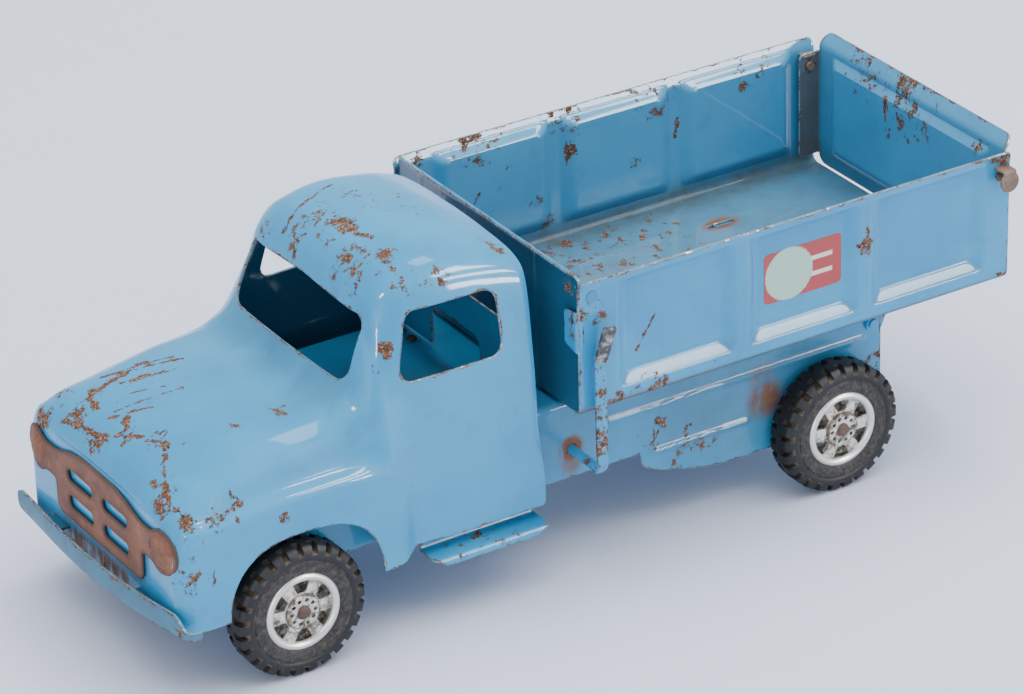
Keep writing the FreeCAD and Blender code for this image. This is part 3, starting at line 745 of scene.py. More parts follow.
# ---- materials ----------------------------------------------------------------------------
# Scratches: two (x, y, z) ends and about half the width. Those of the cab are laid out as seen from
# above, those of the bed as seen from the side.
cab_scratches = [((137, -33, 0), (161, -30, 0), 0.9), ((161, -30, 0), (162, -19, 0), 1.0),
                 ((132, -19, 0), (149, -27, 0), 0.8), ((136, -6, 0), (159, -13, 0), 0.35),
                 ((128, -28, 0), (152, -38, 0), 0.35), ((140, -12, 0), (150, -18, 0), 0.3),
                 ((126, -24, 0), (143, -32, 0), 0.5), ((150, -4, 0), (162, -12, 0), 0.5),
                 ((158, -6, 0), (165, 4, 0), 0.8),
                 ((170, -30, 0), (168, -8, 0), 0.7), ((168, -8, 0), (160, 8, 0), 0.6),
                 ((156, 18, 0), (164, 31, 0), 0.7), ((164, 31, 0), (169, 42, 0), 0.9),
                 ((169, 42, 0), (167, 54, 0), 0.5), ((116, 33, 0), (119, 26, 0), 0.5),
                 ((132, 31, 0), (135, 26, 0), 0.4), ((149, 50, 0), (150, 56, 0), 0.4),
                 ((84, -20, 0), (60, -28, 0), 0.4), ((76, 2, 0), (70, 16, 0), 0.8)]
bed_scratches = [((-20, 0, 98), (-12, 0, 86), 0.3), ((-110, 0, 96), (-111, 0, 106), 0.8),
                 ((4, 0, 67.5), (-36, 0, 68.0), 0.7), ((-40, 0, 67.8), (-100, 0, 67.6), 0.35)]

cab_enamel = enamel("cab_enamel", cab_scratches)
bed_enamel = enamel("bed_enamel", bed_scratches, (1.0, 0.0, 1.0))
frame_enamel = enamel("frame_enamel")
# shaded_enamel is painted shade, for the cab's inside, the bed's front face behind the cab and the bumper
# brackets; plug_enamel is the plugs' own darker tone.
shaded_enamel = enamel("shaded_enamel", shade=0.85)
plug_enamel = enamel("plug_enamel", shade=0.30)
inside_enamel = enamel("inside_enamel", bed_scratches, (1.0, 0.0, 1.0), faded=0.22)
worn = worn_edge()
grille_rust = rusty_steel("grille_rust", (0.055, 0.024, 0.014), (0.190, 0.070, 0.034),
                          (0.350, 0.140, 0.064), edged=0.75)
axle_rust = rusty_steel("axle_rust", (0.022, 0.012, 0.009), (0.085, 0.042, 0.028), (0.180, 0.100, 0.065))
ear_steel = rusty_steel("ear_steel", (0.060, 0.045, 0.035), (0.200, 0.120, 0.080), (0.330, 0.230, 0.170))
grey_steel = rusty_steel("grey_steel", (0.090, 0.060, 0.045), (0.210, 0.180, 0.160),
                         (0.340, 0.310, 0.290), shine=0.7)
wheel_plating = plated()
tyre_rubber = rubber()
grip_steel = worn_grip()
transfer = decal_paint("transfer")


# ---- cab ----------------------------------------------------------------------------------
# Cross sections from the rear edge to the nose: x, then (y, z) from the bottom edge of the side,
# over the shoulder, to the middle of the roof or hood.
cab_sections = [
    (27.5, [(52.5, 31), (53, 60), (53, 70), (52.5, 80),
            (51, 95), (47.5, 119), (44, 125), (33, 128.5), (0, 130)]),
    (42.0, [(52.5, 31), (53, 60), (53, 70), (52.5, 80),
            (51, 95), (47.8, 119), (44.5, 127.5), (32, 133.5), (0, 136)]),
    (60.0, [(52.5, 31), (53, 60), (53, 70), (52.5, 80),
            (51, 95), (47.5, 120), (44.2, 129.2), (32, 135.8), (0, 137.9)]),
    (76.0, [(53, 32.5), (53.5, 60), (53.4, 70), (52.8, 80),
            (50.5, 95), (46, 119.5), (42, 128.3), (30, 133.5), (0, 135.8)]),
    (85.0, [(57, 29.3), (57, 62), (56, 70), (54.2, 79),
            (50.5, 94), (42.3, 117), (38.8, 122.5), (28, 126.5), (0, 128.5)]),
    (88.0, [(57.5, 29), (57.5, 64), (56.5, 70), (54.5, 78),
            (50.8, 93), (40.2, 113), (36.3, 118), (25, 121.3), (0, 123)]),
    (97.0, [(57.5, 29), (57.5, 66), (56.5, 69.6), (53.4, 73.6),
            (49.4, 87), (44, 92), (39.4, 95), (24, 97), (0, 97.6)]),
    (103.0, [(57.5, 29), (57.5, 66.3), (56.6, 69.6), (53.2, 72.9),
             (49, 84.4), (43.8, 88), (38.8, 89.6), (24, 90.3), (0, 90.5)]),
    (105.0, [(57.5, 29), (57.5, 66.5), (56.6, 69.7), (53.2, 72.7),
             (48.9, 83.8), (43.6, 87), (38.6, 88.5), (24, 89.2), (0, 89.4)]),
    (128.0, [(57.5, 29), (57.5, 66.8), (56.6, 69.9), (53.2, 72.5),
             (49.8, 80.2), (45, 83.8), (39.4, 86.2), (23, 87.8), (0, 88.2)]),
    (150.0, [(57.5, 29), (57.5, 64.6), (56.5, 67.7), (53.2, 70.2),
             (50, 76.4), (44.8, 80), (38.8, 82.2), (22, 84), (0, 84.6)]),
    (164.0, [(57.4, 29), (57.3, 60), (56.2, 65.8), (53.8, 68.8),
             (51, 73.4), (45.5, 76.4), (38.5, 78.1), (22, 79.4), (0, 79.9)]),
    (168.5, [(57, 29), (56.9, 59), (56.1, 64.9), (54.3, 68.8),
             (50.8, 71.8), (45, 74), (38, 75.1), (21, 76.2), (0, 76.6)]),
    (171.3, [(55.4, 29), (55.3, 58), (54.6, 63.3), (52.8, 67),
             (49.4, 69.6), (44, 71.2), (37, 72), (21, 72.9), (0, 73.2)]),
    (173.2, [(52.8, 29), (52.7, 57), (52, 61.6), (50, 65),
             (46.8, 67.2), (42, 68.5), (36, 69.1), (20, 69.7), (0, 69.9)]),
]
side_window = rounded_outline([(38.0, 95.5), (81.0, 95.5), (75.0, 121.0), (39.0, 121.0)], 5.0)
windscreen = rounded_outline([(-39.5, 96.5), (39.5, 96.5), (38.7, 119.6), (0.0, 121.8),
                              (-38.7, 119.6)], 5.0)
rear_hole = [(-47, 20), (47, 20), (47, 66.5), (40, 66.5), (38, 118), (-38, 118), (-40, 66.5), (-47, 66.5)]
arch_x, arch_z, arch_half, arch_height, arch_power = 124.0, 24.5, 31.3, 30.8, 2.6
nose_face = 173.7
rear_reach = 3.0
plate_foot = 39.0
lip_height, lip_half = 69.2, 31.0


def drawn_in(section, amount):
    """A section with its sides and top moved inward by amount."""
    points = np.array(section, float)
    along = np.gradient(points, axis=0)
    along /= np.linalg.norm(along, axis=1)[:, None]
    along[-1] = (-1.0, 0.0)
    along[0] = (0.0, 1.0)
    moved = points - amount * np.stack([along[:, 1], -along[:, 0]], 1)
    moved[-1, 0] = 0.0
    return moved


def cab_rows():
    """Every row of the cab's net: x, then its points, from the turned-in rear edge to the nose's face."""
    rear, nose = cab_sections[0][1], cab_sections[-1][1]
    rows = [(25.0, drawn_in(rear, 14.0)), (25.0, drawn_in(rear, 3.2)), (25.7, drawn_in(rear, 0.9))]
    rows += [(x, np.array(points, float)) for x, points in cab_sections]
    face = drawn_in(nose, 1.3)
    flat = face * np.array([0.0, 1.0])
    rows += [(nose_face, face), (nose_face, flat)]
    return rows


def cab_surface():
    """The cab's outside as a function of two distances, along the truck and over it from right to left,
    with the stops of both."""
    rows = cab_rows()
    half = np.array([points for _, points in rows])
    x = np.array([x for x, _ in rows])
    full = np.concatenate([half * np.array([-1.0, 1.0]), half[:, -2::-1]], axis=1)
    spans = np.linalg.norm(np.diff(full[3:-2], axis=1), axis=2).mean(0)
    over = np.concatenate([[0.0], np.cumsum(spans)])
    solid = np.concatenate([np.repeat(x[:, None, None], full.shape[1], 1), full], axis=2)
    lengths = np.linalg.norm(np.diff(solid, axis=0), axis=2)
    along = np.concatenate([[0.0], np.cumsum(lengths[:, 2:-2].mean(1))])

    def surface(params):
        u, v = params[:, 0], params[:, 1]
        columns = [np.repeat(x[:, None], len(u), 1)]
        for k in (0, 1):
            rows_here = [pchip(over, np.repeat(row[:, None], len(v), 1), v) for row in full[:, :, k]]
            columns.append(np.stack(rows_here))
        points = np.stack([pchip(along, column, u) for column in columns], 1)
        side, height = np.abs(points[:, 1]), points[:, 2]
        lip = np.exp(-((height - lip_height) / 0.45) ** 2) * (1 - smooth(side, lip_half - 3, lip_half))
        points[:, 0] -= 0.45 * lip * (points[:, 0] > 168.0)
        reach_back = (1 - smooth(points[:, 0], 27.0, 70.0)) * (1 - smooth(height, 36.0, 68.0))
        points[:, 0] -= rear_reach * reach_back
        return points

    return surface, along, over


def cab_keep(points, params, rear_hole_end):
    """Distance inside the edges of the windows, the arches and the opening at the rear."""
    x, y, z = points.T
    side = np.abs(y)
    window = np.where((side > 34) & (x < 86) & (z > 88), side_window(x, z), nowhere)
    screen = np.where((x > 84) & (x < 106) & (side < 44), windscreen(y, z), nowhere)
    oval = (np.abs(x - arch_x) / arch_half) ** arch_power + (np.abs(z - arch_z) / arch_height) ** arch_power
    arch = np.where(side > 47, (oval ** (1 / arch_power) - 1) * arch_height, nowhere)
    rear = np.where(params[:, 0] < rear_hole_end, polygon_distance(y, z, rear_hole), nowhere)
    return np.minimum(np.minimum(window, screen), np.minimum(arch, rear))


def make_cab():
    """Roof, doors, fenders, hood and nose in one sheet, painted outside and shaded inside."""
    surface, along, over = cab_surface()
    us = np.concatenate([lines(*along[:-5], step=1.5), lines(*along[-5:-1], step=0.5)[1:],
                         lines(*along[-2:], step=1.5)[1:]])
    wear = spots([((169, -26, 76), 11, 0.95), ((169, -9, 76), 11, 1.0), ((162, 4, 80), 10, 0.85),
                  ((157, 14, 82), 9, 0.85), ((171, -44, 69), 11, 1.0), ((166, -42, 75), 12, 0.9),
                  ((160, -30, 80), 10, 0.8), ((162, -10, 79), 32, 0.45), ((164, 31, 78), 9, 0.95),
                  ((169, 41, 74), 10, 1.0), ((167, 54, 70), 9, 0.9), ((168, 56, 62), 10, 0.8),
                  ((169, 56, 50), 15, 0.75), ((155, 55, 70), 13, 0.8), ((116, 30, 88), 6, 0.9),
                  ((150, 22, 84), 8, 0.7), ((149, 54, 73), 6, 0.9), ((132, 58, 64), 5, 1.1),
                  ((84, 47.5, 110), 5.5, 1.6), ((83, 49, 105.5), 4, 1.2), ((75, 4, 135), 13, 0.95),
                  ((79, -12, 132), 14, 0.8), ((73, 30, 131), 12, 0.95), ((70, 41, 129), 10, 0.9),
                  ((80, 18, 131), 14, 0.85), ((84, 28, 127), 9, 0.8), ((58, 44, 129), 9, 0.8),
                  ((85, -10, 125), 9, 0.8), ((85, -31, 125), 9, 0.7), ((62, -12, 137), 22, 0.6),
                  ((40, 0, 135), 26, 0.4), ((30, 34, 127), 10, 0.8), ((88, 44, 100), 8, 0.7)])
    # dirt here darkens and dulls the paint along the foot of the windscreen.
    dirt = spots([((98, 0, 97), 20, 0.35), ((98, 28, 96), 20, 0.30), ((98, -28, 96), 20, 0.35)])

    def stain(points):
        """Rust that has run down the nose from the plate, with a bright line along the plate's foot."""
        x, y, z = points.T
        side = np.abs(y)
        foot = 1.3 * np.exp(-((z - plate_foot) / 0.9) ** 2) * (1 - smooth(side, 29.0, 32.0))
        beside = 0.8 * np.exp(-((side - 33.5) / 1.0) ** 2)
        beside = beside * smooth(z, 39.0, 41.0) * (1 - smooth(z, 50.0, 54.0))
        runs = 0.95 * (1 - smooth(z, 34.0, 38.5)) * (1 - smooth(np.abs(y + 4), 16.0, 34.0))
        return (x > 172.0) * np.maximum(foot, np.maximum(beside, runs))

    # The inside faces take the shaded enamel: painted shade inside the cab.
    sheet_part("cab_shell_pressing", us, lines(*over, step=1.5), surface,
               lambda points, params: cab_keep(points, params, along[2]), 1.5, "truck", "blue_enamel",
               ["cab_shell"], [cab_enamel, worn, shaded_enamel], thickness=1.1, wear=wear, dirt=dirt,
               stain=stain, inner=2)


def make_back_panel():
    """A flat second sheet inside the shell's rear edge, with the rear window."""
    outline = rounded_outline([(-50, 67.5), (50, 67.5), (49.5, 94), (45.5, 118), (41, 123), (0, 127.5),
                               (-41, 123), (-45.5, 118), (-49.5, 94)], 1.5)
    window = rounded_outline(rectangle(-33, 33, 98, 117), 4.0)
    notch = rounded_outline(rectangle(-17, 17, 55, 84), 5.0)

    def surface(q):
        return np.stack([np.full(len(q), 27.2), q[:, 0], q[:, 1]], 1)

    sheet_part("cab_back_plate", lines(-52, 52, step=1.5), lines(66, 129, step=1.5), surface,
               inside(outline, window, notch), 1.5, "truck", "blue_enamel", ["cab_back_panel"],
               [cab_enamel, worn])


def make_grille():
    """Flat plate with four slots, joined by necks to a domed lamp at each end."""
    middle = rounded_outline([(-29, 39.5), (29, 39.5), (31.5, 42), (32, 63), (22, 66.5), (12, 68.6),
                              (-12, 68.6), (-22, 66.5), (-32, 63), (-31.5, 42)], 2.0)
    slots = [rounded_outline(rectangle(y, y + 18.2, low, high), 2.1)
             for y in (-22.0, 3.8) for low, high in ((45.0, 50.0), (55.8, 60.5))]
    lamp_y, lamp_z, lamp_radius = 46.0, 58.0, 8.4
    neck_z, neck_half = 57.8, 5.8
    face = nose_face + 1.3

    def outline(y, z):
        side = np.abs(y)
        neck = np.maximum(np.maximum(25 - side, side - lamp_y), np.abs(z - neck_z) - neck_half)
        lamp = np.hypot(side - lamp_y, z - lamp_z) - lamp_radius
        return soft_min([middle(y, z), neck, lamp], 1.6)

    def surface(q):
        side = np.abs(q[:, 0])
        ring = np.hypot(side - lamp_y, q[:, 1] - lamp_z)
        dome = 1.5 * np.sqrt(np.clip(1 - (ring / 6.0) ** 2, 0, 1))
        dome = dome + 0.45 * np.exp(-((ring - 7.5) / 0.5) ** 2)
        lip = sum(0.35 * np.exp(-((hole(q[:, 0], q[:, 1]) - 0.9) / 0.6) ** 2) for hole in slots)
        bow = 2.2 * smooth(side, 42.0, 58.0)
        return np.stack([face - bow + dome + lip, q[:, 0], q[:, 1]], 1)

    sheet_part("grille_pressing", lines(-55, 55, step=0.75), lines(39, 69, step=0.75), surface,
               inside(outline, *slots), 0.75, "truck", "bare_steel", ["grille_plate"],
               [grille_rust, grille_rust], thickness=1.0)


# ---- bumper, running boards ---------------------------------------------------------------
def make_bumper():
    """Bowed strip, curled at its left end and nearly straight at its right, hung a little low there."""
    bow, span, curl = 5.5, 60.0, 3.4
    front, low, high = 180.0, 28.2, 36.3
    tilt = math.radians(1.5)
    middle = (low + high) / 2
    left = [(front - bow * (y / span) ** 2, y) for y in np.linspace(0, span, 25)]
    end_x, end_y = left[-1]
    start = math.atan(2 * bow / span)
    for turn in np.linspace(0, math.radians(112), 12)[1:]:
        left.append((end_x - curl * (math.cos(start) - math.cos(start + turn)),
                     end_y + curl * (math.sin(start + turn) - math.sin(start))))
    right = [(front - (front - x) * (1 - 0.35 * (y / span) ** 2), -y) for x, y in left[1:29]]
    line = np.array(right[::-1] + left)
    run = distances(line)
    tangent = np.gradient(line, axis=0)
    tangent /= np.linalg.norm(tangent, axis=1)[:, None]

    def surface(q):
        x, y = read(line, run, q[:, 0])
        tx, ty = read(tangent, run, q[:, 0])
        crown = 0.55 - 0.5 * ((q[:, 1] - middle) / 4.0) ** 2
        y = y - tx * crown
        return np.stack([x + ty * crown, y * math.cos(tilt), q[:, 1] + y * math.sin(tilt)], 1)

    end = run[-1]
    tongue = [(0.0, low + 3.0), (1.0, low + 1.0), (3.5, low), (end, low), (end, low + 3.2),
              (end - 6.0, low + 3.4), (end - 8.0, low + 5.0), (end - 10.0, high - 1.2), (end - 13.0, high),
              (4.0, high), (1.0, high - 1.4), (0.0, high - 3.2)]

    def wear(points):
        """Worn most along the top edge and at the two ends."""
        top_edge = smooth(points[:, 2] - points[:, 1] * math.sin(tilt), high - 1.6, high)
        return 0.35 + 0.75 * top_edge + 0.35 * smooth(np.abs(points[:, 1]), 48.0, 62.0)

    sheet_part("bumper_strip", lines(*run, step=1.0), lines(low, high, step=0.7), surface,
               inside(lambda a, b: polygon_distance(a, b, tongue)), 0.7, "truck", "blue_enamel",
               ["front_bumper"], [frame_enamel, worn], thickness=1.1, wear=wear,
               dirt=lambda points: np.full(len(points), 0.75))


def make_running_board(side):
    """Step below the door: an upright flange, a tread, and a turned-down outer lip."""
    low, high = box_mm("running_board_left")
    inner, outer, tread = low[1] + 0.9, high[1], low[2] + 1.0
    upright = high[2] - tread
    bend = 1.5
    line = np.array([(inner, tread + upright), (inner, tread + bend)]
                    + [(inner + bend * (1 - math.cos(t)), tread + bend * (1 - math.sin(t)))
                       for t in np.linspace(0.2, math.pi / 2, 5)]
                    + [(outer - 1.6, tread)] + quarter_turn(outer - 1.6, tread, 1.3, 0.2, 5)
                    + [(outer - 0.3, tread - 2.8)])
    run = distances(line)

    def surface(q):
        y, z = read(line, run, q[:, 1])
        return np.stack([q[:, 0], y, z], 1)

    wide = rounded_outline(rectangle(low[0], high[0], upright - 5.0, run[-1]), 7.0)
    narrow = rounded_outline(rectangle(low[0] + 5, high[0] - 5, 0, upright + 3), 1.0)
    sheet_part(f"running_board_{side}_step", lines(low[0], high[0], step=1.0), lines(*run, step=0.8),
               surface, inside(lambda a, b: np.minimum(wide(a, b), narrow(a, b))), 0.8, "truck",
               "blue_enamel", [f"running_board_{side}"], [frame_enamel, worn],
               wear=spots([((48, 58, 25), 26, 0.7)]), mirrored=side == "right")


# ---- chassis ------------------------------------------------------------------------------
def make_chassis():
    """Inverted channel with deep rear skirts, embossed beads and an opening for the lift."""
    bend = 2.5
    wall = chassis_top - bend
    outline_x = [-129.0, -122.0, -58.0, -45.0, -27.0, -23.0, -21.5, 166.0]
    outline_z = [24.0, 19.0, 19.0, 21.0, 26.0, 29.0, 34.5, 34.5]
    depth = 44.0
    half_top = chassis_half - bend
    quarter = bend * math.pi / 2
    reach = half_top + quarter + depth
    beads = [(-122.0, -6.0, 52.0), (-70.0, -26.0, 33.5)]

    def surface(q):
        x, v = q.T
        s = np.abs(v)
        turn = np.clip((s - half_top) / bend, 0, math.pi / 2)
        share = np.clip((s - half_top - quarter) / depth, 0, 1)
        low = np.interp(x, outline_x, outline_z)
        y = np.minimum(s, half_top) + bend * np.sin(turn)
        z = wall + bend * np.cos(turn) - share * (wall - low)
        for x0, x1, height in beads:
            gap = np.hypot(np.clip(x0 + 1.6 - x, 0, None) + np.clip(x - x1 + 1.6, 0, None), z - height)
            y += 1.0 * (1 - smooth(gap, 0.2, 2.0)) * (share > 0)
        return np.stack([x, np.copysign(y, v), z], 1)

    top_end = -108.0
    lift_rear, lift_front, lift_half = -86.0, -1.0, 11.0
    cross = lines(0, lift_half, half_top, half_top + quarter, reach, step=0.9)
    vs = np.concatenate([-cross[:0:-1], cross])
    us = lines(-129.0, -122.0, top_end, lift_rear, -58.0, -45.0, -27.0, -23.0, -21.5, -6.0, lift_front, 20.0,
               step=0.9)
    us = np.concatenate([us, lines(20.0, 94.0, 166.0, step=3.0)[1:]])

    def cut_away(u, v):
        """The rear of the top, over the hinge, and the opening for the lift."""
        over_end = u < top_end and abs(v) < half_top + 0.1
        lift_opening = lift_rear < u < lift_front and abs(v) < lift_half
        return over_end or lift_opening

    holes = (rear_axle, tyre_radius, 2.1), (*lever_pivot, 2.1), (*bed_hinge, 2.1)

    def keep(points, q):
        gap = np.full(len(points), nowhere)
        for x, z, radius in holes:
            hole = np.hypot(points[:, 0] - x, points[:, 2] - z) - radius
            gap = np.minimum(gap, np.where(np.abs(q[:, 1]) > half_top + quarter, hole, nowhere))
        return gap

    wear = spots([((-45, 46, 30), 18, 0.8), ((-30, 46, 42), 16, 0.7), ((-100, 46, 22), 30, 0.6),
                  ((-128, 46, 40), 10, 0.8)])
    # Painted shade: the top of the chassis and the upper part of its near side are darkened under the bed,
    # under the cab and in the gap between them.
    dirt = spots([((-60, 46, 66), 70, 0.5), ((60, 30, 67), 60, 0.6), ((10, 46, 60), 40, 0.4)])
    stain = spots([((-77, 46, 40), 11, 0.9), ((-75, 46, 50), 8, 0.5), ((8, 46, 46), 7, 1.4),
                   ((8, 46, 40), 7, 0.7)])
    sheet_part("chassis_channel", us, vs, surface, keep, 0.9, "truck", "blue_enamel", ["chassis_frame"],
               [frame_enamel, worn], drop=cut_away, wear=wear, dirt=dirt, stain=stain)


# ---- dump bed -----------------------------------------------------------------------------
def panel_press(x, z):
    """How deep the side wall is pressed in at a place, from 0 to panel_depth."""
    deep = np.zeros_like(x)
    for x0, x1 in panel_spans:
        edges = [(x - x0) / 5.0, (x1 - x) / 5.0, (z - panel_low) / 5.0, (panel_high - z) / 2.6]
        deep = np.maximum(deep, soft_min(edges, 0.45))
    return panel_depth * pressed_slope(deep)


def bed_surface(q):
    """The bed's outer side, by the distance along the truck and that from the middle of the floor."""
    x, v = q.T
    s = np.abs(v)
    turn = np.clip((s - bed_flat) / bed_bend, 0, math.pi / 2)
    up = np.clip(s - bed_flat - bed_fold, 0, bed_rise)
    rim = np.clip(s - bed_flat - bed_fold - bed_rise, 0, None)
    y = np.minimum(s, bed_flat) + bed_bend * np.sin(turn) + rim * 0.34
    z = bed_bottom + bed_bend * (1 - np.cos(turn)) + up + rim * 0.94
    on_wall = z > bed_bottom + bed_bend
    y = y - np.where(on_wall, panel_press(x, z), 0.0)
    return np.stack([x, np.copysign(y, v), z], 1)


def make_bed_tub():
    """Floor and side walls from one sheet, three panels pressed into each wall."""
    low = bed_flat + bed_fold
    stops = [low + z - bed_bottom - bed_bend
             for z in (panel_low, panel_low + 5, panel_high - 2.6, bed_top - 4.0)]
    side = lines(low, *stops, low + bed_rise + 4.0, step=0.9)
    floor = np.concatenate([lines(0, 30.0, step=2.2), lines(30.0, slot_inner, slot_outer, 39.0, step=0.5)[1:],
                            lines(39.0, bed_flat, step=2.2)[1:]])
    cross = np.concatenate([floor, lines(bed_flat, low, step=0.8)[1:], side[1:]])
    vs = np.concatenate([-cross[:0:-1], cross])
    marks = sorted({x for a, b in panel_spans for x in (a, a + 5, b, b - 5)})
    us = lines(bed_rear, *marks, bed_front - 2.0, bed_front, step=1.1)
    us = np.unique(np.concatenate([us, [slot_rear, slot_front]]))
    corner = rounded_outline(rectangle(bed_rear, bed_front + 0.01, 40.0, bed_top), 3.0)

    def cut_away(u, v):
        """The tab slots, and the strip where the front wall stands."""
        tab_slot = slot_rear < u < slot_front and slot_inner < abs(v) < slot_outer
        under_front = u > bed_front - 2.0 and abs(v) < bed_flat
        return tab_slot or under_front

    def keep(points, q):
        x, z = points[:, 0], points[:, 2]
        pin = np.hypot(x - gate_pin_x, z - gate_pin_z) - 1.8
        return np.minimum(np.where(z > 90, -corner(x, z), nowhere), np.where(z > 80, pin, nowhere))

    wear = spots([((-18, 62, 72), 12, 0.9), ((-2, 62, 70), 8, 0.9), ((-44, 62, 70), 8, 0.6),
                  ((8, 62, 110), 10, 0.8), ((-60, -62, 119), 20, 0.85), ((-20, -62, 119), 20, 0.9),
                  ((10, -62, 119), 16, 0.9), ((-100, -62, 119), 20, 0.8), ((-150, -62, 119), 22, 0.7),
                  ((-113, 36, 68), 8, 1.0), ((-172, 61, 119), 12, 0.9), ((-172, 61, 66), 10, 0.6),
                  ((-110, 62, 100), 7, 1.0), ((-140, -60, 110), 5, 1.2), ((-62, -60, 104), 5, 1.1),
                  ((-45, -60, 88), 6, 0.9), ((-30, -60, 102), 12, 0.6), ((-18, -60, 84), 10, 0.7),
                  ((-90, -60, 92), 6, 0.8), ((-52, -61, 76), 7, 0.9), ((-30, 0, 68), 26, 0.5),
                  ((-70, 10, 68), 26, 0.45)])

    def dirt(points):
        """Grime all over the floor, thickest along the folds, thinning up the walls."""
        across, height = np.abs(points[:, 1]), points[:, 2]
        indoors = smooth(bed_wall - 0.5 - across, -0.5, 0.3)
        floor = 0.62 * (1 - smooth(height, bed_bottom + 3, bed_bottom + 14))
        folds = smooth(across, 48.0, 60.0) * (1 - smooth(height, bed_bottom + 1, bed_bottom + 9))
        return indoors * (floor + 0.35 * folds)

    def stain(points):
        """Rust round the slots in the floor and along the outside of the bottom fold."""
        x, y, z = points.T
        slot = 1 - smooth(np.hypot((x + 113) / 1.8, np.abs(y) - 35.5), 2.0, 6.0)
        fold = 0.5 * np.exp(-((z - bed_bottom - 2.2) / 1.4) ** 2) * smooth(x, -60.0, 10.0)
        return 1.3 * slot * (z < bed_bottom + 3) + fold

    sheet_part("bed_tub_pressing", us, vs, bed_surface, keep, 0.9, "dump_bed", "blue_enamel", ["bed_tub"],
               [bed_enamel, worn, inside_enamel], drop=cut_away, flip=True, wear=wear, dirt=dirt,
               stain=stain, inner=2)


def make_bed_front():
    """Front wall with two creases, its top edge rolled forward."""
    face = bed_front - sheet
    inner = bed_wall - sheet - 0.15
    top = 122.5
    roll = 1.9
    straight = top - roll
    arc = roll * math.pi / 2

    def surface(q):
        y, v = q.T
        turn = np.clip((v - straight) / roll, 0, math.pi / 2)
        crease = 0.35 * np.exp(-((y - 34.0) / 0.8) ** 2) + 0.35 * np.exp(-((y + 45.0) / 0.8) ** 2)
        x = face + roll * (1 - np.cos(turn)) + crease
        z = np.minimum(v, straight) + roll * np.sin(turn)
        return np.stack([x, y, z], 1)

    outline = rounded_outline(rectangle(-inner, inner, bed_bottom, straight + arc), 6.5)
    wear = spots([((12, 0, 122), 50, 0.35), ((12, 58, 100), 8, 0.9), ((12, 56, 116), 8, 0.9)])
    # The front face, in the dark gap behind the cab, takes the shaded enamel: painted shade.
    sheet_part("bed_front_sheet", lines(-inner, inner, step=1.2),
               lines(bed_bottom, straight, straight + arc, step=1.2), surface, inside(outline), 1.2,
               "dump_bed", "blue_enamel", ["bed_front_wall"], [shaded_enamel, worn, bed_enamel], wear=wear,
               bulge=0.1, inner=2)


def make_corner_tab(side):
    """Tab from the side wall's front edge, wrapped round the corner on to the front wall."""
    bend, length = 1.6, 8.0
    start_x, start_y = bed_front - 0.6, bed_wall + 0.05
    line = np.array([(bed_front - 2.0, start_y), (start_x, start_y)]
                    + quarter_turn(start_x, start_y, bend, 0.15, 6)
                    + [(start_x + bend, bed_wall - length)])
    run = distances(line)

    def surface(q):
        x, y = read(line, run, q[:, 0])
        return np.stack([x, y, q[:, 1]], 1)

    outline = rounded_outline([(0, 92.5), (run[-1], 95.0), (run[-1], 108.0), (0, 109.5)], 1.6)
    sheet_part(f"bed_corner_tab_{side}", lines(*run, step=0.6), lines(92.0, 118.0, step=0.7), surface,
               inside(outline), 0.6, "dump_bed", "blue_enamel", [], [bed_enamel, worn], thickness=0.7,
               flip=True, bulge=0.15, mirrored=side == "right", wear=spots([((14, 60, 104), 10, 0.8)]))


def make_plugs():
    """Round plug rivets near the front corners, a little domed."""
    low, high = box_mm("bed_corner_rivets")
    radius = (high[0] - low[0]) / 2
    x, z = (high[0] + low[0]) / 2, (high[2] + low[2]) / 2
    outer = high[1]
    profile = np.array([(0.01, outer), (radius * 0.7, outer - 0.02), (radius * 0.95, outer - 0.12),
                        (radius, outer - 0.3), (radius, outer - 0.6)])
    points, faces = zip(*(turned(profile, 40, x, z, side, flip=side < 0) for side in (1, -1)))
    second = [[i + len(points[0]) for i in face] for face in faces[1]]
    points = np.concatenate(points)
    plugs = mesh_object("bed_plug_rivets", points, faces[0] + second, marks=without_edges(points, 0.2))
    place(plugs, "dump_bed", "blue_enamel", ["bed_corner_rivets"], [plug_enamel])


def make_decal(side):
    """Plain transfer on the middle of the side: patch, round and two stripes."""
    low, high = box_mm("decal_left")
    height, width = high[2] - low[2], high[0] - low[0]
    outline = rounded_outline(rectangle(low[0], high[0], low[2] + 3, high[2] - 3), 2.0)
    round_x, round_z = high[0] - height * 0.42, (low[2] + high[2]) / 2
    stripe_x, stripe_reach = low[0] + width * 0.30, width * 0.18

    def surface(q):
        return np.stack([q[:, 0], np.full(len(q), high[1]), q[:, 1]], 1)

    def outside_round(q):
        return np.hypot(q[:, 0] - round_x, q[:, 1] - round_z) - height * 0.40

    def keep(points, q):
        return np.maximum(-outline(*q.T), -outside_round(q))

    def marks(q):
        in_rows = np.abs(np.abs(q[:, 1] - round_z) - 3.2) < 0.8
        stripe = in_rows & (np.abs(q[:, 0] - stripe_x) < stripe_reach)
        return {"stripe": stripe.astype(float), "round": (outside_round(q) < 0.01).astype(float)}

    sheet_part(f"side_transfer_{side}", lines(low[0], high[0], step=0.35), lines(low[2], high[2], step=0.35),
               surface, keep, 0.35, "dump_bed", "decal", [f"decal_{side}"], [transfer, transfer], marks=marks,
               thickness=0.12, flip=True, bulge=0.0, mirrored=side == "right")


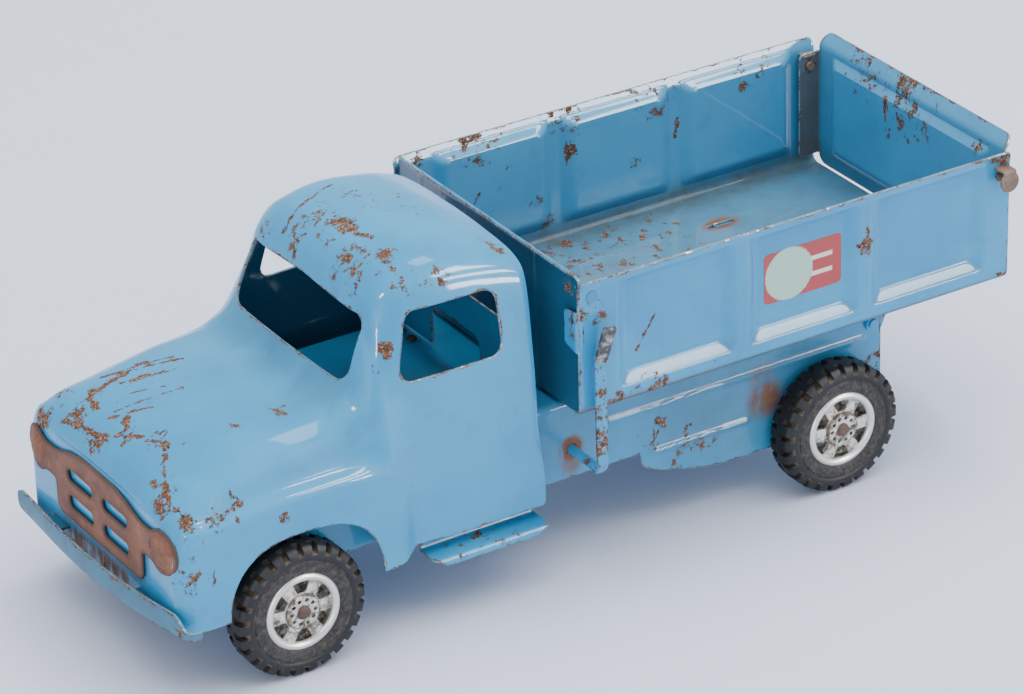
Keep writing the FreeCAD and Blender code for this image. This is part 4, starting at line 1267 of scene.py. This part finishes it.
# ---- tailgate -----------------------------------------------------------------------------
def make_tailgate():
    """Pan with side flanges, a pressed panel and a top edge that leans to the rear."""
    bend = 2.0
    flange_front = -166.2
    arc = bend * math.pi / 2
    straight = gate_half - bend
    flange = flange_front - gate_plate - bend
    reach = straight + arc + flange
    low, lean_z, top = bed_bottom + 1.5, 118.0, 123.0
    lean = 4.0

    def surface(q):
        v = q[:, 1]
        s = np.abs(q[:, 0])
        turn = np.clip((s - straight) / bend, 0, math.pi / 2)
        y = np.minimum(s, straight) + bend * np.sin(turn)
        x = gate_plate + bend * (1 - np.cos(turn)) + np.clip(s - straight - arc, 0, None)
        near = soft_min([(50 - s) / 4.0, (v - 74.0) / 4.5, (116.0 - v) / 3.0], 0.45)
        x = x + 2.5 * pressed_slope(near)
        up = np.clip(v - lean_z, 0, None)
        x = x - lean * (np.sqrt(up * up + 1.0) - 1.0) / 5.0
        return np.stack([x, np.copysign(y, q[:, 0]), np.minimum(v, top)], 1)

    plate_outline = rounded_outline(rectangle(-straight - 1.2, straight + 1.2, low, top), 4.0)
    flange_outline = rounded_outline(rectangle(-reach, reach, gate_flange_low, 116.0), 2.0)

    def keep(points, q):
        depth = -np.minimum(plate_outline(*q.T), flange_outline(*q.T))
        pin = np.hypot(points[:, 0] - gate_pin_x, points[:, 2] - gate_pin_z) - 1.7
        return np.minimum(depth, np.where(np.abs(q[:, 0]) > straight + arc, pin, nowhere))

    cross = lines(0, 46, 50, straight, straight + arc, reach, step=1.0)
    us = np.concatenate([-cross[:0:-1], cross])
    wear = spots([((-178, 0, 120), 30, 0.85), ((-178, -30, 118), 20, 0.7), ((-178, 40, 120), 18, 0.7),
                  ((-170, -58, 112), 9, 0.8), ((-176, 30, 76), 10, 0.5), ((-175, -10, 100), 6, 0.8),
                  ((-176, 10, 108), 14, 0.6)])

    def dirt(points):
        """Soiling at the foot of the gate, and painted shade up its corners and on its side flanges, which
        stand in the dark gap inside the walls.
        """
        foot = 0.6 * (1 - smooth(points[:, 2], bed_bottom + 4, bed_bottom + 14))
        return foot + 1.1 * smooth(np.abs(points[:, 1]), 56.8, 58.4)

    def stain(points):
        return 0.5 * smooth(np.abs(points[:, 1]), 57.6, 59.0)

    sheet_part("tailgate_pan", us, lines(low, 74.0, 78.5, 113.0, 116.0, top, step=1.0), surface, keep, 1.0,
               "tailgate", "blue_enamel", ["tailgate_panel"], [inside_enamel, worn], flip=True, wear=wear,
               dirt=dirt, stain=stain)


def make_gate_ear(side):
    """Hinge ear: a strap out over the wall, bent down into a round end, with its pin."""
    low, high = box_mm("tailgate_ear_left")
    pin_x, pin_z, head = (low[0] + high[0]) / 2, (low[2] + high[2]) / 2, (high[2] - low[2]) / 2
    outer = high[1] - edge_bulge
    strap_top = pin_z + head + 0.8
    bend = 1.0
    inner = gate_half - 1.2
    line = np.array([(inner, strap_top), (outer - bend, strap_top)]
                    + quarter_turn(outer - bend, strap_top, bend, 0.3, 4) + [(outer, pin_z - head)])
    run = distances(line)
    centre = run[-1] - head

    def surface(q):
        y, z = read(line, run, q[:, 1])
        return np.stack([q[:, 0], y, z], 1)

    def keep(points, q):
        across = q[:, 0] - pin_x
        strap = np.maximum(np.abs(across) - 2.6, q[:, 1] - centre)
        disc = np.hypot(across, q[:, 1] - centre) - head
        return -np.minimum(strap, disc)

    name = f"gate_ear_{side}_strap"
    mirrored = side == "right"
    sheet_part(name, lines(pin_x - head, pin_x + head, step=0.45), lines(*run, step=0.45), surface, keep,
               0.45, "tailgate", "bare_steel", [f"tailgate_ear_{side}"], [ear_steel, ear_steel],
               thickness=1.0, mirrored=mirrored)
    profile = np.array([(0.01, inner - 1.0), (1.6, inner - 1.0), (1.6, outer - 0.2)])
    points, faces = turned(profile, 24, pin_x, pin_z, -1 if mirrored else 1, flip=mirrored)
    pin = mesh_object(name + "_pin", points, faces, marks=without_edges(points))
    place(pin, "tailgate", "bare_steel", [], [ear_steel])


# ---- dump lever ---------------------------------------------------------------------------
def flat_section(width, thick, corner, count=24):
    """A rounded flat bar's outline, width along the first axis; a larger corner number is squarer."""
    out = []
    power = 2.0 / corner
    for turn in 2 * math.pi * (np.arange(count) + 0.5) / count:
        c, s = math.cos(turn), math.sin(turn)
        out.append((width / 2 * math.copysign(abs(c) ** power, c),
                    thick / 2 * math.copysign(abs(s) ** power, s)))
    return out


def make_lever():
    """Cross rod, bent up outside the chassis and flattened into a strip."""
    (x, z), radius = lever_pivot, 1.8
    outer = 66.0
    bend = 4.0
    centres = [(x, -49.0, z), (x, 40.0, z), (x, outer - bend - 4.0, z), (x, outer - bend, z)]
    widths = [(2 * radius, 2 * radius, 2.0)] * 3 + [(3.9, 3.3, 2.3)]
    up = (0, 0, 1)
    axes = [((1, 0, 0), up)] * 4
    for t in np.linspace(0.3, math.pi / 2, 6):
        centres.append((x, outer - bend + bend * math.sin(t), z - 0.4 + bend * (1 - math.cos(t))))
        axes.append(((1, 0, 0), (0, -math.sin(t), math.cos(t))))
        share = t / (math.pi / 2)
        widths.append((3.9 + 0.7 * share, 3.3 - 1.7 * share, 2.3 + 2.5 * share))
    for height, shift in ((60.0, 0.15), (75.0, 0.3), (88.0, 0.5), (90.5, 0.4)):
        centres.append((x + shift, outer, height))
        axes.append(((1, 0, 0), (0, -1, 0)))
        widths.append((4.6, 1.6, 5.0))
    sections = [flat_section(*w) for w in widths]
    wear = spots([((8, 66, 60), 24, 1.0), ((8, 62, 46), 10, 0.8), ((8, 47, 45), 6, 2.5),
                  ((8, 66, 80), 16, 0.9)])
    strip = sweep("lever_rod_and_strip", centres, sections, axes, wear=wear)
    place(strip, "dump_lever", "blue_enamel", ["dump_lever"], [frame_enamel])
    start, finish = np.array([x + 0.4, outer, 89.0]), np.array([x - 2.8, 68.2, 103.5])
    axis = (finish - start) / np.linalg.norm(finish - start)
    thick = np.cross(axis, (1, 0, 0))
    thick /= np.linalg.norm(thick)
    wide = np.cross(thick, axis)
    shares = [0.0, 0.05, 0.12, 0.3, 0.5, 0.7, 0.9, 0.97, 1.0]
    sizes = [(3.6, 1.2), (4.8, 1.6), (5.4, 1.7), (5.4, 1.7), (5.5, 1.6), (5.5, 1.6), (5.6, 1.5),
             (5.4, 1.3), (5.2, 0.9)]
    centres = [start + (finish - start) * share for share in shares]
    sections = [flat_section(w, t, 6.0, 32) for w, t in sizes]
    grip = sweep("lever_grip", centres, sections, [(wide, thick)] * len(shares))
    place(grip, "dump_lever", "bare_steel", [], [grip_steel])


# ---- wheels -------------------------------------------------------------------------------
# (radius, distance from the middle), from the rim out over the side to the tread.
tyre_profile = [(13.4, 4.3), (14.1, 4.8), (14.7, 5.45), (15.6, 5.8), (17.3, 6.05), (19.1, 6.1),
                (19.35, 5.8), (19.75, 5.8), (20.0, 6.15), (20.3, 6.3), (21.6, 6.3), (22.9, 6.15),
                (23.9, 5.85), (24.7, 5.35), (25.15, 4.8), (25.35, 4.2), (25.4, 3.4), (25.4, 2.2),
                (25.4, 1.35), (25.4, 1.15), (25.4, 0.0)]


def make_tyre(name, node, body):
    """Moulded tyre with a row of lugs cut into each shoulder, the two rows half a pitch apart."""
    low, high = box_mm(node)
    centre_x = (low[0] + high[0]) / 2
    mid = (low[1] + high[1]) / 2
    half = np.array(tyre_profile)
    profile = np.concatenate([half, half[-2::-1] * np.array([1, -1])])
    edge, foot = 0.185, 0.160
    near = (-edge, -foot, -foot / 2, 0.0, foot / 2, foot, edge)
    shares = np.array(sorted({round(c + s, 4) for c in (0.0, 0.5) for s in near} | {0.25, 0.75}))
    turn = (np.arange(lugs)[:, None] + shares[None, :]).reshape(-1)
    radius = np.repeat(profile[None, :, 0], len(turn), 0)
    across = np.repeat(profile[None, :, 1], len(turn), 0)
    phase = np.repeat(turn[:, None], profile.shape[0], 1)
    centre = np.where(across > 0, 0.0, 0.5)
    off = (phase - centre + 0.5) % 1.0 - 0.5
    out = np.abs(across)
    narrow = 1.0 + 0.35 * np.exp(-((out - 2.0) / 1.2) ** 2) + 0.25 * smooth(out, 5.4, 6.2)
    narrow = 1.0 + (narrow - 1.0) * smooth(out, 0.5, 1.3)
    wide = np.where(np.abs(off) < 0.24, narrow, 1.0)
    phase = phase + off * (wide - 1.0)
    cut = (np.abs(off) <= foot + 1e-4) & (out > 1.2)
    floor = 22.7 - 0.5 * smooth(out, 4.5, 6.3)
    radius = np.where(cut & (radius > floor), floor, radius)
    angle = phase * 2 * math.pi / lugs
    ribs = 0.10 * np.sin(angle * 90) * ((radius > 15.8) & (radius < 19.0))
    across = across + np.copysign(ribs, across)
    x = centre_x + radius * np.sin(angle)
    z = tyre_radius - radius * np.cos(angle)
    points = np.stack([x, mid + across, z], -1).reshape(-1, 3)
    deep = np.where(cut & (radius < 23.0) & (radius > 22.0), 1.0, 0.0)
    deep = np.maximum(deep, np.where((radius > 14.6) & (radius < 19.3), 0.36, 0.0))
    deep = np.maximum(deep, np.where((radius > 19.3) & (radius < 19.9), 0.6, 0.0))
    tyre = mesh_object(name, points, ring_faces(len(turn), profile.shape[0], flip=True),
                       marks={"deep": deep.ravel()}, sharp=38.0)
    place(tyre, body, "rubber", [node], [tyre_rubber])


# (radius, distance from the truck's middle), from the axle hole out to the rolled ring.
wheel_profile = [(2.15, 59.2), (5.9, 59.25), (6.15, 59.0), (6.3, 58.2), (6.6, 57.9), (6.9, 58.35),
                 (8.0, 58.5), (11.9, 58.2), (12.4, 58.3), (12.7, 59.0), (13.0, 59.5), (13.3, 59.65),
                 (13.7, 59.6), (13.95, 59.35), (14.1, 58.8)]
around_radius = 9.0


def make_wheel(name, node, body):
    """Plated wheel: rolled outer ring, six windows, raised boss with ten small holes."""
    low, high = box_mm(node)
    centre_x = (low[0] + high[0]) / 2
    mirrored = high[1] < 0
    line = curve(wheel_profile, 5)
    run = distances(line)

    def surface(q):
        radius, y = read(line, run, q[:, 0])
        turn = q[:, 1] / around_radius
        return np.stack([centre_x + radius * np.cos(turn), y, tyre_radius + radius * np.sin(turn)], 1)

    def keep(points, q):
        dx, dz = points[:, 0] - centre_x, points[:, 2] - tyre_radius
        radius = np.hypot(dx, dz)
        turn = np.arctan2(dz, dx)
        spoke = (turn + math.pi / 6) % (math.pi / 3) - math.pi / 6
        beside = np.abs(radius * np.sin(spoke)) - 2.1 - 0.09 * (radius - 7.0)
        window = soft_min([beside, radius - 7.2, 12.2 - radius], 0.9)
        pitch = math.pi / 5
        near = (turn + pitch / 2) % pitch - pitch / 2
        hole = np.hypot(radius * np.cos(near) - 4.65, radius * np.sin(near)) - 0.85
        return np.minimum(-window, hole)

    def marks(q):
        """Dirt lies in the face and most of all in the two grooves."""
        points = surface(q)
        radius = np.hypot(points[:, 0] - centre_x, points[:, 2] - tyre_radius)
        groove = np.exp(-((radius - 6.45) / 0.4) ** 2) + 0.5 * np.exp(-((radius - 12.4) / 0.4) ** 2)
        return {"deep": 0.40 * (radius < 12.2) + 0.55 * groove}

    vs = np.linspace(0, 2 * math.pi * around_radius, 241)
    sheet_part(name + "_disc", lines(0, run[-1], step=0.3), vs, surface, keep, 0.28, body, "plated", [node],
               [wheel_plating, wheel_plating], marks=marks, thickness=0.8, bulge=0.1, mirrored=mirrored)
    barrel = [(14.15, 59.0), (14.15, 50.0), (13.3, 49.6), (4.4, 49.4), (4.2, 47.2), (2.1, 47.2)]
    well = [(2.1, 54.3), (6.0, 54.3), (11.9, 54.6), (12.9, 55.4), (13.1, 58.4), (14.0, 58.6)]
    for suffix, profile, deep in (("_barrel", barrel, 0.3), ("_well", well, 0.48)):
        points, faces = turned(curve(profile, 3), 96, centre_x, tyre_radius, -1 if mirrored else 1,
                               flip=mirrored)
        part = mesh_object(name + suffix, points, faces, marks={"deep": np.full(len(points), deep)})
        place(part, body, "plated", [], [wheel_plating])


def make_axle(name, node):
    """Axle with a hammered dome at each end."""
    low, high = box_mm(node)
    centre_x = (low[0] + high[0]) / 2
    end = high[1]
    dome = [(0.02, end), (1.0, end - 0.05), (1.9, end - 0.35), (2.5, end - 0.95), (2.7, end - 1.5),
            (2.5, end - 1.9), (2.0, end - 1.95), (2.0, 0.0)]
    half = curve(dome, 4)
    profile = np.concatenate([half, half[-2::-1] * np.array([1, -1])])
    points, faces = turned(profile, 48, centre_x, tyre_radius, flip=True)
    dx, dz = points[:, 0] - centre_x, points[:, 2] - tyre_radius
    beaten = 1 + 0.06 * np.sin(3 * np.arctan2(dz, dx) + points[:, 1]) * (np.abs(points[:, 1]) > end - 1.8)
    points[:, 0] = centre_x + dx * beaten
    points[:, 2] = tyre_radius + dz * beaten
    place(mesh_object(name, points, faces), "truck", "bare_steel", [node], [axle_rust])


# ---- CAD pieces that keep their own shape -------------------------------------------------
def finish_cad_pieces():
    """Hidden brackets, pins and the lift keep their CAD shape and take these materials; the bumper brackets
    take the shaded enamel, painted shade under the nose.
    """
    finishes_and_shade = {"axle_bracket_front": frame_enamel, "bumper_brackets": shaded_enamel,
                "cab_rivets": axle_rust, "bed_hinge_rod": frame_enamel, "bed_hinge_bracket": frame_enamel,
                "lift_bracket": grey_steel, "lift_crank": grey_steel, "crank_pin": axle_rust,
                "lever_clip": grey_steel}
    for node, material in finishes_and_shade.items():
        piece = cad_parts[node]
        piece.data.materials.clear()
        piece.data.materials.append(material)
        for key, value in (("edge", unworn), ("wear", 0.4)):
            mark = piece.data.attributes.new(key, "FLOAT", "POINT")
            mark.data.foreach_set("value", [value] * len(piece.data.vertices))


# ---- floor, light, camera -----------------------------------------------------------------
def make_floor():
    """A flat floor that reaches far past the picture."""
    reach = 6000.0
    params, faces = net(np.linspace(-reach, reach, 9), np.linspace(-reach, reach, 9))
    points = np.stack([params[:, 0], params[:, 1], np.zeros(len(params))], 1)
    floor = mesh_object("floor", points, faces)
    floor.data.materials.append(floor_paper())


def softbox(name, direction, distance, width, height, power, colour=(1.0, 1.0, 1.0)):
    """A rectangular light that faces the truck from a direction."""
    data = bpy.data.lights.new(name, "AREA")
    data.shape = "RECTANGLE"
    data.size, data.size_y = width, height
    data.energy = power
    data.color = colour
    lamp = bpy.data.objects.new(name, data)
    away = Vector(direction).normalized()
    lamp.location = away * distance + Vector((0, 0, 0.06))
    lamp.rotation_mode = "QUATERNION"
    lamp.rotation_quaternion = away.to_track_quat("Z", "Y")
    bpy.context.scene.collection.objects.link(lamp)
    return lamp


def make_light():
    """A wide soft light from above for the shading, two smaller lights, and five that only show as glints."""
    overhead = softbox("overhead", (-0.18, 0.10, 0.97), 2.0, 2.6, 2.6, 58.0, (0.98, 0.99, 1.0))
    overhead.visible_glossy = False
    softbox("front_left", (0.78, 0.50, 0.28), 1.9, 0.9, 0.9, 2.5, (0.96, 0.98, 1.0))
    softbox("above", (-0.30, -0.10, 0.95), 1.9, 0.5, 0.5, 6.0)
    glints = [("glint_panels", (-0.50, 0.74, 0.45), 0.60, 0.26, 17.0),
              ("glint_crest", (-0.46, 0.46, 0.75), 0.70, 0.30, 21.0),
              ("glint_nose", (0.66, 0.22, 0.70), 0.26, 0.26, 10.0),
              ("glint_fender", (-0.52, 0.84, 0.16), 0.50, 0.20, 14.0),
              ("glint_post", (0.72, 0.66, 0.12), 0.20, 0.30, 9.0)]
    for name, direction, width, height, power in glints:
        softbox(name, direction, 1.8, width, height, power).visible_diffuse = False
    world = bpy.data.worlds.new("studio")
    world.use_nodes = True
    background = world.node_tree.nodes["Background"]
    background.inputs["Color"].default_value = (0.80, 0.86, 0.97, 1.0)
    background.inputs["Strength"].default_value = 0.98
    bpy.context.scene.world = world


def make_camera():
    """A long lens from the front left and above, slightly rolled."""
    azimuth, elevation, roll = math.radians(148.456), math.radians(27.737), math.radians(-1.632)
    target, distance = Vector((0.0034, 0.0, 0.0659)), 1.7567
    back = Vector((math.sin(azimuth) * math.cos(elevation), -math.cos(azimuth) * math.cos(elevation),
                   math.sin(elevation)))
    data = bpy.data.cameras.new("camera")
    data.lens = 169.43
    data.sensor_width = 36.0
    data.clip_start, data.clip_end = 0.05, 30.0
    camera = bpy.data.objects.new("camera", data)
    camera.location = target + back * distance
    camera.rotation_mode = "QUATERNION"
    camera.rotation_quaternion = (-back).to_track_quat("-Z", "Y") @ Quaternion((0, 0, 1), roll)
    bpy.context.scene.collection.objects.link(camera)
    bpy.context.scene.camera = camera


make_camera()
make_floor()
make_light()
make_cab()
make_back_panel()
make_grille()
make_bumper()
make_chassis()
make_bed_tub()
make_bed_front()
make_plugs()
make_tailgate()
make_lever()
for side in ("left", "right"):
    make_running_board(side)
    make_corner_tab(side)
    make_decal(side)
    make_gate_ear(side)
for end in ("front", "rear"):
    make_axle(f"axle_{end}_beaten", f"axle_{end}")
    for side in ("left", "right"):
        wheel_body = f"wheel_{end}_{side}_body"
        make_tyre(f"tyre_{end}_{side}_moulded", f"tyre_{end}_{side}", wheel_body)
        make_wheel(f"wheel_{end}_{side}_plated", f"wheel_{end}_{side}", wheel_body)
finish_cad_pieces()
